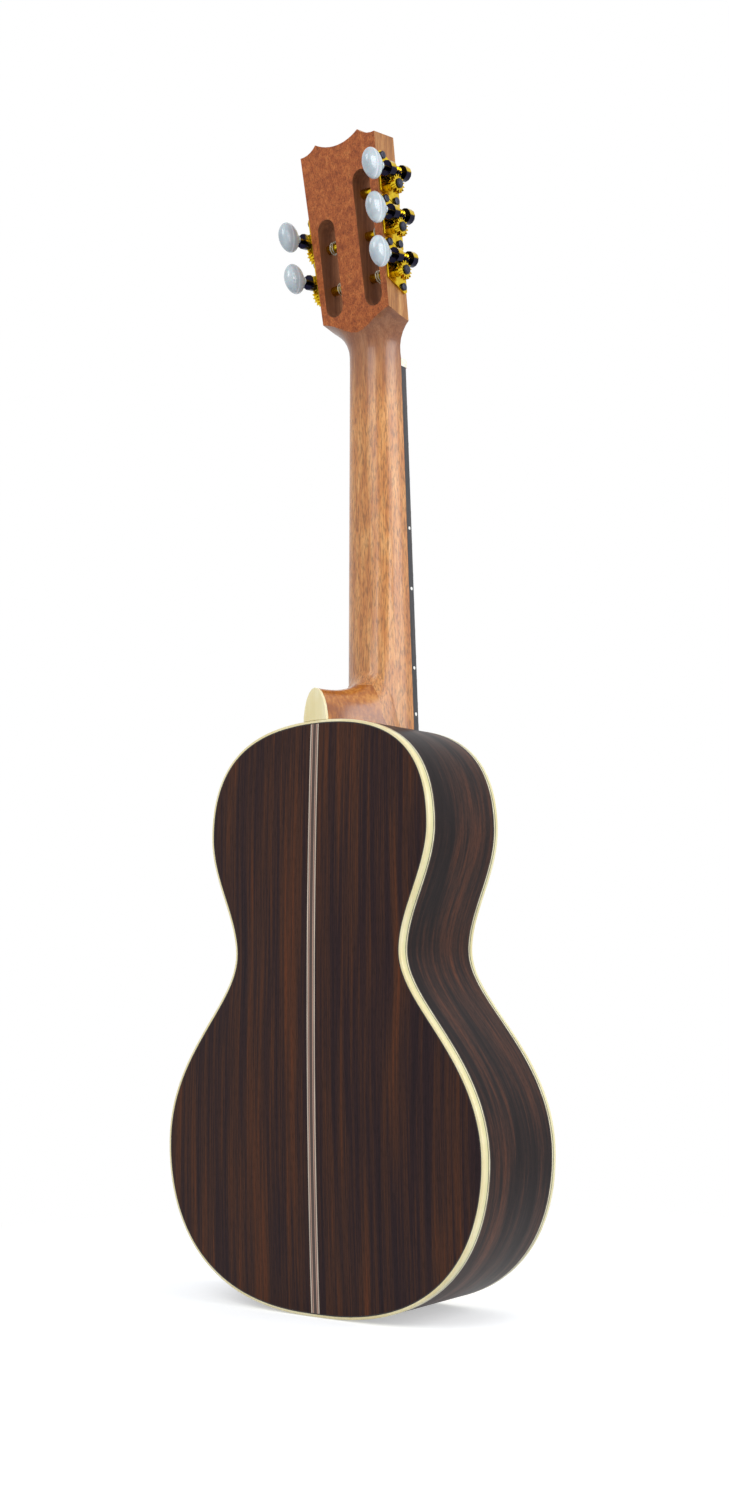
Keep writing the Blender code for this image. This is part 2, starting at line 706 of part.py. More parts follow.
def body_end():
    """A cutter as deep as the body, its top following the body's top end at a glue line's distance."""
    steps = 16
    reach = END_CUTTER_REACH
    low_z = BODY_LENGTH - END_CUTTER_DEPTH
    outline = [(reach, low_z), (-reach, low_z)]
    for i in range(2 * steps + 1):
        x = reach * (i / steps - 1)
        outline.append((x, body_top(x) + GLUE_GAP))
    ends = (FRONT_Y - 20 * MM, rim_y(BODY_LENGTH) + 20 * MM)
    return skin([[Vector((x, y, z)) for x, z in outline] for y in ends])


def head_half_width(v):
    return HEAD_BOTTOM_WIDTH / 2 + (v - HEAD_CORNER_V) * math.tan(HEAD_TAPER)


def head_outline():
    """The head seen from the front: tapered sides and a crown of one wide and two small scoops."""
    corner = (HEAD_TOP_WIDTH / 2, HEAD_TOP_V)
    foot_v = -FIT_OVERLAP
    points = [(-head_half_width(foot_v), foot_v), (head_half_width(foot_v), foot_v), corner]
    points += arc(corner, CROWN_POINT, CORNER_SCOOP, 5)
    points += arc(CROWN_POINT, (-CROWN_POINT[0], CROWN_POINT[1]), CROWN_SCOOP, 12)
    points += arc(points[-1], (-corner[0], corner[1]), CORNER_SCOOP, 5)
    return points


def slot_outline(side, tuners):
    """A round-ended slot as long as its row of tuners."""
    radius = SLOT_WIDTH / 2
    low = SLOT_START_V + radius
    high = FIRST_POST_V + (tuners - 1) * TUNER_PITCH + SLOT_END_MARGINS[side]
    x = side * SLOT_CENTRE
    angles = [math.pi * i / 8 for i in range(9)]
    lower = [(x - radius * math.cos(a), low - radius * math.sin(a)) for a in angles]
    upper = [(x + radius * math.cos(a), high - radius + radius * math.sin(a)) for a in angles]
    return lower + upper


def head_slab():
    """The slotted head as a flat tilted board, reaching down past the nut's upper end."""
    upright = Matrix.Rotation(math.pi / 2, 4, "X")
    slots = [slot_outline(-1, 3), slot_outline(1, 2)]
    return moved(plate(head_outline(), slots, -HEAD_THICKNESS, 0), HEAD_FRAME @ upright)


def neck_envelope():
    """All the space below the head's lower end, joined to the head's slab."""
    wide = HEAD_TOP_WIDTH
    low = (-wide, FRONT_Y - wide, BODY_LENGTH - wide)
    high = (wide, FRONT_Y + wide, NUT_Z + NUT_LENGTH)
    return combine(box(low, high), [head_slab()], "UNION")


def string_ramp(side):
    """A wedge cut into the head's front face, from the nut end down into a slot."""
    end_v = SLOT_START_V + SLOT_WIDTH / 2
    depth = RAMP_DEPTH
    profile = ((-1 * MM, RAMP_START_V), (depth, end_v), (-1 * MM, end_v))
    rings = []
    for x in (SLOT_CENTRE - SLOT_WIDTH / 2, SLOT_CENTRE + SLOT_WIDTH / 2):
        rings.append([Vector((side * x, y, v)) for y, v in profile])
    return moved(skin(rings), HEAD_FRAME)


def tuner_frame(side, place_number):
    """The frame of one tuner: on the head's side, at the post's axis."""
    v = FIRST_POST_V + place_number * TUNER_PITCH
    spot = Matrix.Translation((side * head_half_width(v), POST_DEPTH, v))
    return spot @ Matrix.Rotation(side * HEAD_TAPER, 4, "Y")


def post_inner_end(v):
    """How far the post reaches in from the head's side: through the slot into the middle."""
    return head_half_width(v) - (SLOT_CENTRE - SLOT_WIDTH / 2) + POST_TIP


def make_neck(material):
    """Shaft, heel and slotted head as one piece of wood, bored for the posts."""
    shaft = combine(neck_shaft(), [neck_envelope()], "INTERSECT")
    solid = combine(shaft, [heel()], "UNION")
    bores = []
    for _, side, number, _ in TUNERS:
        v = FIRST_POST_V + number * TUNER_PITCH
        length = post_inner_end(v) + 0.4 * MM
        radius = POST_RADIUS + POST_HOLE_GAP
        profile = ((0, -length), (radius, -length), (radius, 2 * MM), (0, 2 * MM))
        bore = lathe(profile, POST_SIDES, "X")
        if side < 0:
            bore = moved(bore, Matrix.Rotation(math.pi, 4, "Z"))
        bores.append(moved(bore, HEAD_FRAME @ tuner_frame(side, number)))
    cutters = [body_end(), string_ramp(-1), string_ramp(1), *bores]
    place("neck", combine(solid, cutters, "DIFFERENCE"), material)


def make_heel_cap(material):
    face = rim_y(BODY_LENGTH)
    half = HEEL_CAP_WIDTH / 2
    depths = (face, face - HEEL_CAP_THICKNESS)
    rings = [heel_section(y, half, HEEL_CAP_HEIGHT, HEEL_FOOT_Z) for y in depths]
    place("heel_cap", combine(skin(rings), [body_end()], "DIFFERENCE"), material)


def make_fingerboard(material):
    """A tapered flat board with its frets, drawn in side view and widened to its edges."""
    base = FRONT_Y - GLUE_GAP
    face = base - BOARD_THICKNESS
    end_z = fret_z(FRET_COUNT) - BOARD_OVERHANG
    profile = [(base, NUT_Z), (face, NUT_Z)]
    for number in range(1, FRET_COUNT + 1):
        z = fret_z(number)
        half = FRET_WIDTH / 2
        crown = face - FRET_HEIGHT
        profile += [(face, z + half), (crown, z + half * 0.5), (crown, z - half * 0.5), (face, z - half)]
    profile += [(face, end_z), (base, end_z)]
    rings = [[Vector((side * neck_half_width(z), y, z)) for y, z in profile] for side in (-1, 1)]
    place("fingerboard", skin(rings), material)


def string_x(number, spread):
    """Where a string lies across the neck, from the bass side."""
    return spread * (number / 4 - 0.5)


def make_nut(material):
    """The nut, with a notch under each string and its top sloping down to the head."""
    half = NUT_WIDTH / 2
    base = FRONT_Y - GLUE_GAP
    top = NUT_STRING_Y - 0.3 * MM
    outline = [(half, base), (-half, base), (-half, top)]
    for number, radius in enumerate(STRING_RADII):
        x = string_x(number, NUT_SPREAD)
        notch = radius + STRING_SEAT
        outline += [(x - notch, top), (x - notch, NUT_STRING_Y + notch), (x + notch, NUT_STRING_Y + notch), (x + notch, top)]
    outline.append((half, top))
    near = NUT_Z + GLUE_GAP
    far = NUT_Z + NUT_LENGTH - GLUE_GAP
    rings = [
        [Vector((x, y, near)) for x, y in outline],
        [Vector((x, y if y == base else y + NUT_SLOPE, far)) for x, y in outline],
    ]
    place("nut", skin(rings), material)


def bridge_wings():
    """The low base with rounded tips."""
    half = BRIDGE_LENGTH / 2
    side = BRIDGE_WIDTH / 2
    outline = [(-half + side, -side), (half - side, -side)]
    outline += arc(outline[-1], (half - side, side), -side * 0.999, 8)
    outline.append((-half + side, side))
    outline += arc(outline[-1], (-half + side, -side), -side * 0.999, 8)[:-1]
    return plate(outline, [], 0, BRIDGE_BASE)


def make_bridge(material):
    """A tie bridge: wings, a saddle slot and a tie block with a hole for each string."""
    half = BRIDGE_BLOCK_LENGTH / 2
    saddle_half = SADDLE_THICKNESS / 2 + GLUE_GAP
    front = BRIDGE_WIDTH / 2 - 1 * MM
    tail = 0.6 * MM - BRIDGE_WIDTH / 2
    tie = tail + TIE_BLOCK_WIDTH
    inside = BRIDGE_BASE - 1 * MM
    valley = BRIDGE_BASE + 0.3 * MM
    rise = BRIDGE_BASE + 2.2 * MM
    profile = [
        (tail, inside),
        (tail, TIE_BLOCK_HEIGHT - 1 * MM),
        (tail + 1 * MM, TIE_BLOCK_HEIGHT),
        (tie - 1 * MM, TIE_BLOCK_HEIGHT),
        (tie, TIE_BLOCK_HEIGHT - 1 * MM),
        (tie, valley),
        (-saddle_half - 2 * MM, valley),
        (-saddle_half - 1.6 * MM, rise),
        (saddle_half + 1.6 * MM, rise),
        (front, inside),
    ]
    rings = [[Vector((x, along, height)) for along, height in profile] for x in (-half, half)]
    body = combine(bridge_wings(), [skin(rings)], "UNION")
    slot = box((-half - 1 * MM, -saddle_half, SADDLE_SEAT), (half + 1 * MM, saddle_half, rise + 1 * MM))
    holes = []
    for number in range(5):
        x = string_x(number, SADDLE_SPREAD)
        drill = ((0, tail - 1 * MM), (TIE_HOLE_RADIUS, tail - 1 * MM), (TIE_HOLE_RADIUS, tie + 1 * MM), (0, tie + 1 * MM))
        hole = lathe(drill, 10, "Y")
        holes.append(moved(hole, Matrix.Translation((x, 0, TIE_HOLE_HEIGHT))))
    matrix = FRONT_PLANE @ Matrix.Translation((0, SADDLE_Z, GLUE_GAP))
    place("bridge", combine(body, [slot, *holes], "DIFFERENCE"), material, matrix)


def make_saddle(material):
    """The saddle, round on top, standing in the bridge's slot."""
    half = SADDLE_LENGTH / 2
    thick = SADDLE_THICKNESS / 2
    foot = SADDLE_SEAT + 2 * GLUE_GAP
    profile = [(-thick, foot), (-thick, SADDLE_SHOULDER)]
    profile += arc(profile[-1], (thick, SADDLE_SHOULDER), thick * 0.999, 6)
    profile.append((thick, foot))
    rings = [[Vector((x, along, height)) for along, height in profile] for x in (-half, half)]
    place("saddle", skin(rings), material, FRONT_PLANE @ Matrix.Translation((0, SADDLE_Z, 0)))


def winding(index, side, number):
    """The turns on the post, in the tuner's frame: starting in front of the post and moving along it."""
    radius = POST_RADIUS + STRING_GAP + STRING_RADII[index]
    v = FIRST_POST_V + number * TUNER_PITCH
    start = WINDING_STARTS[index] - head_half_width(v)
    step = WINDING_PITCH * WINDING_DIRECTIONS[index]
    points = []
    for i in range(WINDING_TURNS * WINDING_STEPS + 1):
        turn = i / WINDING_STEPS
        angle = 2 * math.pi * turn
        out = start + step * turn
        points.append(Vector((side * out, -radius * math.cos(angle), radius * math.sin(angle))))
    return points


def least_gap(points, radius):
    """The least distance between two turns of one string, surface to surface."""
    apart = WINDING_STEPS * 3 // 4
    gaps = [(a - b).length for i, a in enumerate(points) for b in points[i + apart :]]
    return min(gaps) - 2 * radius


def over_saddle(x, radius):
    """The bend of a string over the saddle's round top, from behind it to its crown."""
    reach = SADDLE_THICKNESS / 2 + STRING_SEAT + radius
    bends = (math.radians(60), math.radians(30), 0)
    shoulder_y = FRONT_Y - SADDLE_SHOULDER
    return [Vector((x, shoulder_y - reach * math.cos(a), SADDLE_Z - reach * math.sin(a))) for a in bends]


def make_string(index, tuner, material):
    """One string from the tie block over saddle and nut, down into the slot and round its post."""
    _, side, number, _ = tuner
    radius = STRING_RADII[index]
    saddle_x = string_x(index, SADDLE_SPREAD)
    nut_x = string_x(index, NUT_SPREAD)
    tie_z = SADDLE_Z - BRIDGE_WIDTH / 2
    tie_y = FRONT_Y - TIE_HOLE_HEIGHT - GLUE_GAP
    turns = [HEAD_FRAME @ tuner_frame(side, number) @ point for point in winding(index, side, number)]
    points = [
        Vector((saddle_x, tie_y, tie_z)),
        Vector((saddle_x, tie_y, tie_z + TIE_BLOCK_WIDTH + 1 * MM)),
        *over_saddle(saddle_x, radius),
        Vector((nut_x, NUT_STRING_Y, NUT_Z)),
        Vector((nut_x, NUT_STRING_Y + NUT_SLOPE, NUT_Z + NUT_LENGTH)),
        *turns,
    ]
    print(f"string_{index + 1} least gap between turns {least_gap(turns, radius) / MM:.2f} mm")
    curve = bpy.data.curves.new(f"string_{index + 1}", "CURVE")
    curve.dimensions = "3D"
    curve.bevel_depth = radius
    curve.bevel_resolution = 1
    curve.use_fill_caps = True
    spline = curve.splines.new("POLY")
    spline.points.add(len(points) - 1)
    for spot, point in zip(spline.points, points):
        spot.co = (*point, 1)
    source = bpy.data.objects.new("string_path", curve)
    mesh = bpy.data.meshes.new_from_object(source)
    bpy.data.objects.remove(source)
    place(f"string_{index + 1}", mesh, material)


def make_tuner_plate(name, side, parent, material):
    """The diagonal plate with its two bearing barrels and the heads of its two screws."""
    upright = Matrix(((0, 0, side), (1, 0, 0), (0, 1, 0))).to_4x4()
    outline = [(d * MM, h * MM) for d, h in TUNER_PLATE_OUTLINE]
    hole = circle(POST_RADIUS + 2 * POST_HOLE_GAP, POST_SIDES)
    low = GLUE_GAP
    high = GLUE_GAP + TUNER_PLATE_THICKNESS
    base = moved(plate(outline, [hole], low, high), upright)
    extras = []
    bore = SHAFT_RADIUS + RUNNING_GAP
    for start, end in (FRONT_BARREL, BACK_BARREL):
        profile = ((bore, start), (BARREL_RADIUS, start), (BARREL_RADIUS, end), (bore, end))
        barrel = lathe(profile, SHAFT_SIDES, "Y")
        extras.append(moved(barrel, Matrix.Translation((side * WORM_OUT, 0, WORM_UP))))
        root, tip = sorted((side * (high - FIT_OVERLAP / 2), side * (WORM_OUT - bore - FIT_OVERLAP)))
        inset = FIT_OVERLAP / 4
        low_end = (root, start + inset, WORM_UP - EAR_HEIGHT / 2)
        extras.append(box(low_end, (tip, end - inset, WORM_UP + EAR_HEIGHT / 2)))
    for d, h in PLATE_SCREWS:
        top = high + PLATE_SCREW_HEIGHT
        under = high - 0.5 * MM
        radius = PLATE_SCREW_RADIUS
        profile = ((0, under), (radius, under), (radius, high + 0.5 * MM), (0.6 * radius, top), (0, top))
        screw = moved(lathe(profile, 10, "X"), Matrix.Translation((0, d * MM, h * MM)))
        if side < 0:
            screw = moved(screw, Matrix.Scale(-1, 4, (1, 0, 0)))
        extras.append(screw)
    place(f"plate_{name}", combine(base, extras, "UNION"), material, None, parent)


def thread_radius(share):
    """The worm's radius at a share of its pitch: flat crest, flat root and straight flanks."""
    from_crest = abs(share - round(share)) * 2
    slope_start = TOOTH_SHARE * 0.7
    slope_end = TOOTH_SHARE * 1.5
    rise = min(max((slope_end - from_crest) / (slope_end - slope_start), 0), 1)
    return WORM_ROOT_RADIUS + (WORM_TIP_RADIUS - WORM_ROOT_RADIUS) * rise


def make_worm(name, parent, material):
    """A shaft along the head's depth with one helical thread between the barrels."""
    rows = 15
    front_end = FRONT_BARREL[0] - 0.4 * MM
    button_seat = BUTTON_CENTRE - BUTTON_HALF_LENGTH + 2.6 * MM
    rings = []

    def plain(y, radius):
        angles = [2 * math.pi * i / SHAFT_SIDES for i in range(SHAFT_SIDES)]
        rings.append([Vector((radius * math.sin(a), y, -radius * math.cos(a))) for a in angles])

    plain(front_end, SHAFT_RADIUS)
    plain(-WORM_LENGTH / 2 - GLUE_GAP, SHAFT_RADIUS)
    for row in range(rows):
        y = WORM_LENGTH * (row / (rows - 1) - 0.5)
        ring = []
        for i in range(SHAFT_SIDES):
            angle = 2 * math.pi * i / SHAFT_SIDES
            radius = thread_radius(y / WORM_PITCH - angle / (2 * math.pi) + 0.5)
            ring.append(Vector((radius * math.sin(angle), y, -radius * math.cos(angle))))
        rings.append(ring)
    plain(WORM_LENGTH / 2 + GLUE_GAP, SHAFT_RADIUS)
    plain(button_seat, SHAFT_RADIUS)
    place(f"worm_{name}", skin(rings), material, None, parent)


def make_button(name, parent, material):
    """An oval button, bored for the shaft, with a short round collar."""
    steps = SHAFT_SIDES
    ovals = 9
    bore = SHAFT_RADIUS + RUNNING_GAP
    seat = BUTTON_CENTRE - BUTTON_HALF_LENGTH + 2.7 * MM
    collar = BUTTON_CENTRE - BUTTON_HALF_LENGTH - 0.8 * MM
    angles = [2 * math.pi * i / steps for i in range(steps)]

    def ring(y, thick, high):
        return [Vector((thick * math.sin(a), y, high * math.cos(a))) for a in angles]

    collar_radius = 2.6 * MM
    rings = [ring(seat, bore, bore), ring(collar, bore, bore), ring(collar, collar_radius, collar_radius)]
    for i in range(1, ovals):
        along = -math.cos(math.pi * i / ovals)
        bulge = math.sqrt(1 - along**2)
        thick = BUTTON_HALF_THICKNESS * bulge**0.8
        high = BUTTON_HALF_HEIGHT * bulge
        rings.append(ring(BUTTON_CENTRE + BUTTON_HALF_LENGTH * along, thick, high))
    place(f"button_{name}", skin(rings), material, None, parent)


def make_gear(name, side, parent, material):
    """A small worm wheel on the post's end, its teeth slanted to the thread."""
    lead = math.atan(WORM_PITCH / (2 * math.pi * WORM_PITCH_RADIUS))
    pitch_angle = 2 * math.pi / GEAR_TEETH
    tooth_half = pitch_angle * TOOTH_SHARE / 2
    outline = []
    for tooth in range(GEAR_TEETH):
        middle = tooth * pitch_angle
        corners = (
            (GEAR_ROOT_RADIUS, -1.5),
            (GEAR_TIP_RADIUS, -0.7),
            (GEAR_TIP_RADIUS, 0.7),
            (GEAR_ROOT_RADIUS, 1.5),
        )
        outline += [(radius, middle + tooth_half * share) for radius, share in corners]
    rings = []
    for out in (-GEAR_WIDTH / 2, GEAR_WIDTH / 2):
        twist = out * math.tan(lead) / GEAR_PITCH_RADIUS
        points = [(r * math.sin(a + twist), r * math.cos(a + twist)) for r, a in outline]
        rings.append([Vector((side * WORM_OUT + out, y, z)) for y, z in points])
    reach = WORM_OUT + GEAR_WIDTH
    radius = SPIGOT_RADIUS + RUNNING_GAP
    bore = lathe(((0, -reach), (radius, -reach), (radius, reach), (0, reach)), POST_SIDES, "X")
    place(f"gear_{name}", combine(skin(rings), [bore], "DIFFERENCE"), material, None, parent)


def make_post(name, side, number, parent, material):
    """The string post: a round bar through the slot with a spigot for the gear."""
    v = FIRST_POST_V + number * TUNER_PITCH
    inner = -post_inner_end(v)
    shoulder = WORM_OUT - GEAR_WIDTH / 2 - GLUE_GAP
    end = WORM_OUT + GEAR_WIDTH / 2 - GLUE_GAP
    bore = 1.1 * MM
    bore_floor = end - 3.4 * MM
    profile = [
        (0, inner),
        (POST_RADIUS, inner),
        (POST_RADIUS, shoulder),
        (SPIGOT_RADIUS, shoulder),
        (SPIGOT_RADIUS, end),
        (bore, end),
        (bore, bore_floor),
        (0, bore_floor),
    ]
    mesh = lathe(profile, POST_SIDES, "X")
    if side < 0:
        mesh = moved(mesh, Matrix.Rotation(math.pi, 4, "Z"))
    place(f"post_{name}", mesh, material, None, parent)


def make_gear_screw(name, side, parent, material):
    """The domed screw that holds the gear on the post."""
    face = WORM_OUT + GEAR_WIDTH / 2 + GLUE_GAP
    shank = 1 * MM
    tip = face - 3.2 * MM
    profile = [
        (0, tip),
        (shank, tip),
        (shank, face),
        (GEAR_SCREW_RADIUS, face),
        (GEAR_SCREW_RADIUS, face + 0.7 * MM),
        (GEAR_SCREW_RADIUS * 0.72, face + 1.4 * MM),
        (0, face + 1.6 * MM),
    ]
    mesh = lathe(profile, 10, "X")
    if side < 0:
        mesh = moved(mesh, Matrix.Rotation(math.pi, 4, "Z"))
    place(f"gear_screw_{name}", mesh, material, None, parent)


def make_tuner(tuner, head, gold, dark, pearl):
    """One single tuner. Its key turns about the worm's axis, its roller about the post's."""
    name, side, number, _ = tuner
    mount = empty(f"{name}_tuner", tuner_frame(side, number), head)
    key = empty(f"{name}_key_axis", Matrix.Translation((side * WORM_OUT, 0, WORM_UP)), mount)
    roller = empty(f"{name}_roller_axis", Matrix.Identity(4), mount)
    make_tuner_plate(name, side, mount, gold)
    make_worm(name, key, gold)
    make_button(name, key, pearl)
    make_gear(name, side, roller, gold)
    make_post(name, side, number, roller, gold)
    make_gear_screw(name, side, roller, dark)


def make_body(rosewood, cream, spruce, inlay, strip_wood):
    make_soundboard(spruce)
    make_rosette(inlay)
    make_back_strip(strip_wood)
    make_binding("binding_front", False, cream)
    make_binding("binding_back", True, cream)
    for word, side in (("left", 1), ("right", -1)):
        make_back_half(f"back_{word}", side, rosewood)
        make_side(f"side_{word}", side, rosewood)
        make_lining(f"lining_front_{word}", side, False, spruce)
        make_lining(f"lining_back_{word}", side, True, spruce)
    make_block("neck_block", True, NECK_BLOCK_LENGTH, spruce)
    make_block("tail_block", False, TAIL_BLOCK_LENGTH, spruce)
    make_soundboard_bracing(spruce)
    make_back_bracing(spruce)
    make_bridge_patch(spruce)


def main():
    clear_scene()
    rosewood = surface("rosewood", "48322E", 0.25)
    cream = surface("cream_binding", "F2E2B4", 0.35)
    spruce = surface("spruce", "D9B27C", 0.5)
    inlay = surface("rosette_inlay", "6B4630", 0.4)
    strip_wood = surface("strip_inlay", "B8A28E", 0.35)
    mahogany = surface("neck_wood", "B87A50", 0.3)
    ebony = surface("ebony", "2B2E34", 0.35)
    bone = surface("bone", "EFEBDD", 0.4)
    gold = surface("gold_plate", "C8AE2C", 0.18, 1.0)
    dark = surface("dark_screw", "2D2F38", 0.3, 1.0)
    pearl = surface("pearl", "BFC9D4", 0.2)
    nylon = surface("nylon", "E6E4DC", 0.3)
    make_body(rosewood, cream, spruce, inlay, strip_wood)
    make_neck(mahogany)
    make_heel_cap(cream)
    make_fingerboard(ebony)
    make_nut(bone)
    make_bridge(ebony)
    make_saddle(bone)
    head = empty("head_frame", HEAD_FRAME)
    for tuner in TUNERS:
        make_tuner(tuner, head, gold, dark, pearl)
        make_string(tuner[3], tuner, nylon)


main()
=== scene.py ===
"""A rajao seen from behind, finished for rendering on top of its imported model.

The body is bent, bound and lacquered rosewood, the neck is mahogany, the tuners are gold plated.
Everything is in metres, +Z up the neck, the back towards +Y and the bass side at -X.
"""

import json
import math

import bmesh
import bpy
import numpy as np
from mathutils import Matrix, Vector


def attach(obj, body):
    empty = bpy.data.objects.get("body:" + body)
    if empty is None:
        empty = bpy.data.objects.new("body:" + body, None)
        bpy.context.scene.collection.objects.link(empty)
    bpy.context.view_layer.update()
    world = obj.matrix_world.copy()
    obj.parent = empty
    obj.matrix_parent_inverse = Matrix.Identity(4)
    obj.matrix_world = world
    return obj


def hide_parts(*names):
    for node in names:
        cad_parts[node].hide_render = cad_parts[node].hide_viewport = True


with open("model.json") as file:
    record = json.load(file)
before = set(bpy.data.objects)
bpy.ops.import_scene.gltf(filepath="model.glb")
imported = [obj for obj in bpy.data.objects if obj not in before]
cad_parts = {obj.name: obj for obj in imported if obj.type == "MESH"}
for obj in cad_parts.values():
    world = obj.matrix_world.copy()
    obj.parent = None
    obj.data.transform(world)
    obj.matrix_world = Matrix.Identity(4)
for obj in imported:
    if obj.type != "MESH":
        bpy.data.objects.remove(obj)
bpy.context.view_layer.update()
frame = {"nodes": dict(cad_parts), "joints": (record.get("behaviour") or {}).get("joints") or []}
MM = 0.001

# Camera: the photograph's view, from behind, low and from the bass side, nearly a metre off.
# Its place and focal length were fitted to the object's outline and corners in the photograph.
PHOTO_WIDTH, PHOTO_HEIGHT = 729, 1500
FOCAL_PIXELS = 1731.1
CENTRE_PIXEL_X, CENTRE_PIXEL_Y = 362.9, 764.3
camera = bpy.data.objects.new("camera", bpy.data.cameras.new("camera"))
bpy.context.scene.collection.objects.link(camera)
bpy.context.scene.camera = camera
camera.location = (-0.5971, 0.7643, 0.1789)
camera.rotation_euler = (1.6920, 0.0145, 3.7984)
camera.data.lens = FOCAL_PIXELS / PHOTO_HEIGHT * camera.data.sensor_width
camera.data.shift_x = (PHOTO_WIDTH / 2 - CENTRE_PIXEL_X) / PHOTO_HEIGHT
camera.data.shift_y = (CENTRE_PIXEL_Y - PHOTO_HEIGHT / 2) / PHOTO_HEIGHT
camera.data.clip_start = 0.01


# Material helpers: short functions for the nodes that the materials share, so that each material
# reads as its colours and measures. Colours are sRGB hex, which one function makes linear.
def linear(hex_colour):
    """An sRGB hex colour as linear RGBA."""
    channels = [int(hex_colour[i : i + 2], 16) / 255 for i in (0, 2, 4)]
    return (*[c / 12.92 if c <= 0.04045 else ((c + 0.055) / 1.055) ** 2.4 for c in channels], 1)


def add(tree, kind, inputs=None, **settings):
    """Adds a node with its settings, fills or links its inputs, and returns its first output."""
    node = tree.nodes.new(kind)
    for key, value in settings.items():
        setattr(node, key, value)
    for key, value in (inputs or {}).items():
        if isinstance(value, bpy.types.NodeSocket):
            tree.links.new(value, node.inputs[key])
        else:
            node.inputs[key].default_value = value
    return node.outputs[0] if node.outputs else node


def new_material(name, source="Object"):
    """An empty node material, its tree, its coordinates and the surface socket of its output."""
    material = bpy.data.materials.new(name)
    material.use_nodes = True
    tree = material.node_tree
    tree.nodes.clear()
    place = add(tree, "ShaderNodeTexCoord").node.outputs[source]
    output = add(tree, "ShaderNodeOutputMaterial")
    return material, tree, place, output.inputs["Surface"]


def times(tree, first, second):
    """Two numbers multiplied."""
    return add(tree, "ShaderNodeMath", {0: first, 1: second}, operation="MULTIPLY")


def blended(tree, share, first, second):
    """Two numbers blended by a share from 0 to 1."""
    return add(tree, "ShaderNodeMix", {0: share, 2: first, 3: second}, data_type="FLOAT")


def mixed(tree, share, first, second, blend="MIX"):
    """Two colours blended by a share from 0 to 1, or the first multiplied by that much of the second."""
    settings = {"data_type": "RGBA", "blend_type": blend}
    return add(tree, "ShaderNodeMix", {0: share, 6: first, 7: second}, **settings).node.outputs[2]


def remapped(tree, value, start, end, low=0.0, high=1.0):
    """A value that runs from start to end, made to run from low to high and to stay between them."""
    return add(tree, "ShaderNodeMapRange", {"Value": value, 1: start, 2: end, 3: low, 4: high})


def toned(tree, share, stops, run="LINEAR"):
    """A share turned into colours by (position, hex colour) stops, in a smooth run or in bands."""
    colours = add(tree, "ShaderNodeValToRGB", {"Fac": share})
    ramp = colours.node.color_ramp
    ramp.interpolation = run
    while len(ramp.elements) < len(stops):
        ramp.elements.new(0.5)
    for element, (position, colour) in zip(ramp.elements, stops):
        element.position = position
        element.color = linear(colour)
    return colours


def bumped(tree, strength, depth, height):
    """A small relief of the given depth that follows a height from 0 to 1."""
    return add(tree, "ShaderNodeBump", {"Strength": strength, "Distance": depth, "Height": height})


def marked(tree, name):
    """The number that a mesh carries under this name."""
    return add(tree, "ShaderNodeAttribute", attribute_name=name).node.outputs["Fac"]


def principled(tree, surface, inputs):
    """Ends a material with a principled shader that has these inputs."""
    tree.links.new(add(tree, "ShaderNodeBsdfPrincipled", inputs), surface)


def grain(tree, place, sizes, seed=0.0, detail=2.0, distortion=0.0):
    """Noise stretched with the wood, whose patches measure these sizes in mm along each axis."""
    scale = [1 / (size * MM) if size else 0 for size in sizes]
    moved = (seed, seed * 1.7, seed * 0.6)
    stretched = add(tree, "ShaderNodeMapping", {"Vector": place, "Location": moved, "Scale": scale})
    inputs = {"Vector": stretched, "Scale": 1.0, "Detail": detail, "Roughness": 0.55}
    return add(tree, "ShaderNodeTexNoise", inputs | {"Distortion": distortion})


def background_ray(tree):
    """1 for a ray that shows the background: the camera's own, one mirrored or one let through."""
    path = add(tree, "ShaderNodeLightPath").node
    seen = path.outputs["Is Camera Ray"]
    for kind in ("Is Glossy Ray", "Is Transmission Ray"):
        seen = add(tree, "ShaderNodeMath", {0: seen, 1: path.outputs[kind]}, operation="MAXIMUM")
    return seen


# Floor and light: a white studio floor that keeps the soft shadow round the tail, a white backdrop,
# and broad soft lamps, high behind the camera and beside the bass edge. The white of both is only
# what the camera, a reflection or clear matter sees of them, and puts no light on the object.
WHITE = (1, 1, 1, 1)
FLOOR_HALF = 12.0
FLOOR_DROP = 0.1 * MM
NEAR_GLOW = 0.45
FADE_START, FADE_END = 160 * MM, 420 * MM
floor = bpy.data.objects.new("studio_floor", bpy.data.meshes.new("studio_floor"))
corners = [(x * FLOOR_HALF, y * FLOOR_HALF, -FLOOR_DROP) for x, y in ((-1, -1), (1, -1), (1, 1), (-1, 1))]
floor.data.from_pydata(corners, [], [(0, 1, 2, 3)])
bpy.context.scene.collection.objects.link(floor)
floor_paint, tree, place, surface = new_material("white_studio_floor")
diffuse = add(tree, "ShaderNodeBsdfDiffuse", {"Color": linear("E2E4E6")})
seen = background_ray(tree)
near_glow = add(tree, "ShaderNodeEmission", {"Color": WHITE, "Strength": times(tree, seen, NEAR_GLOW)})
near = add(tree, "ShaderNodeAddShader", {0: diffuse, 1: near_glow})
far = add(tree, "ShaderNodeEmission", {"Color": WHITE, "Strength": 1.0})
# away from the object the floor turns to the backdrop's white, so that they meet without an edge
away = add(tree, "ShaderNodeVectorMath", {0: place}, operation="LENGTH").node.outputs["Value"]
share = times(tree, remapped(tree, away, FADE_START, FADE_END), seen)
tree.links.new(add(tree, "ShaderNodeMixShader", {0: share, 1: near, 2: far}), surface)
floor.data.materials.append(floor_paint)

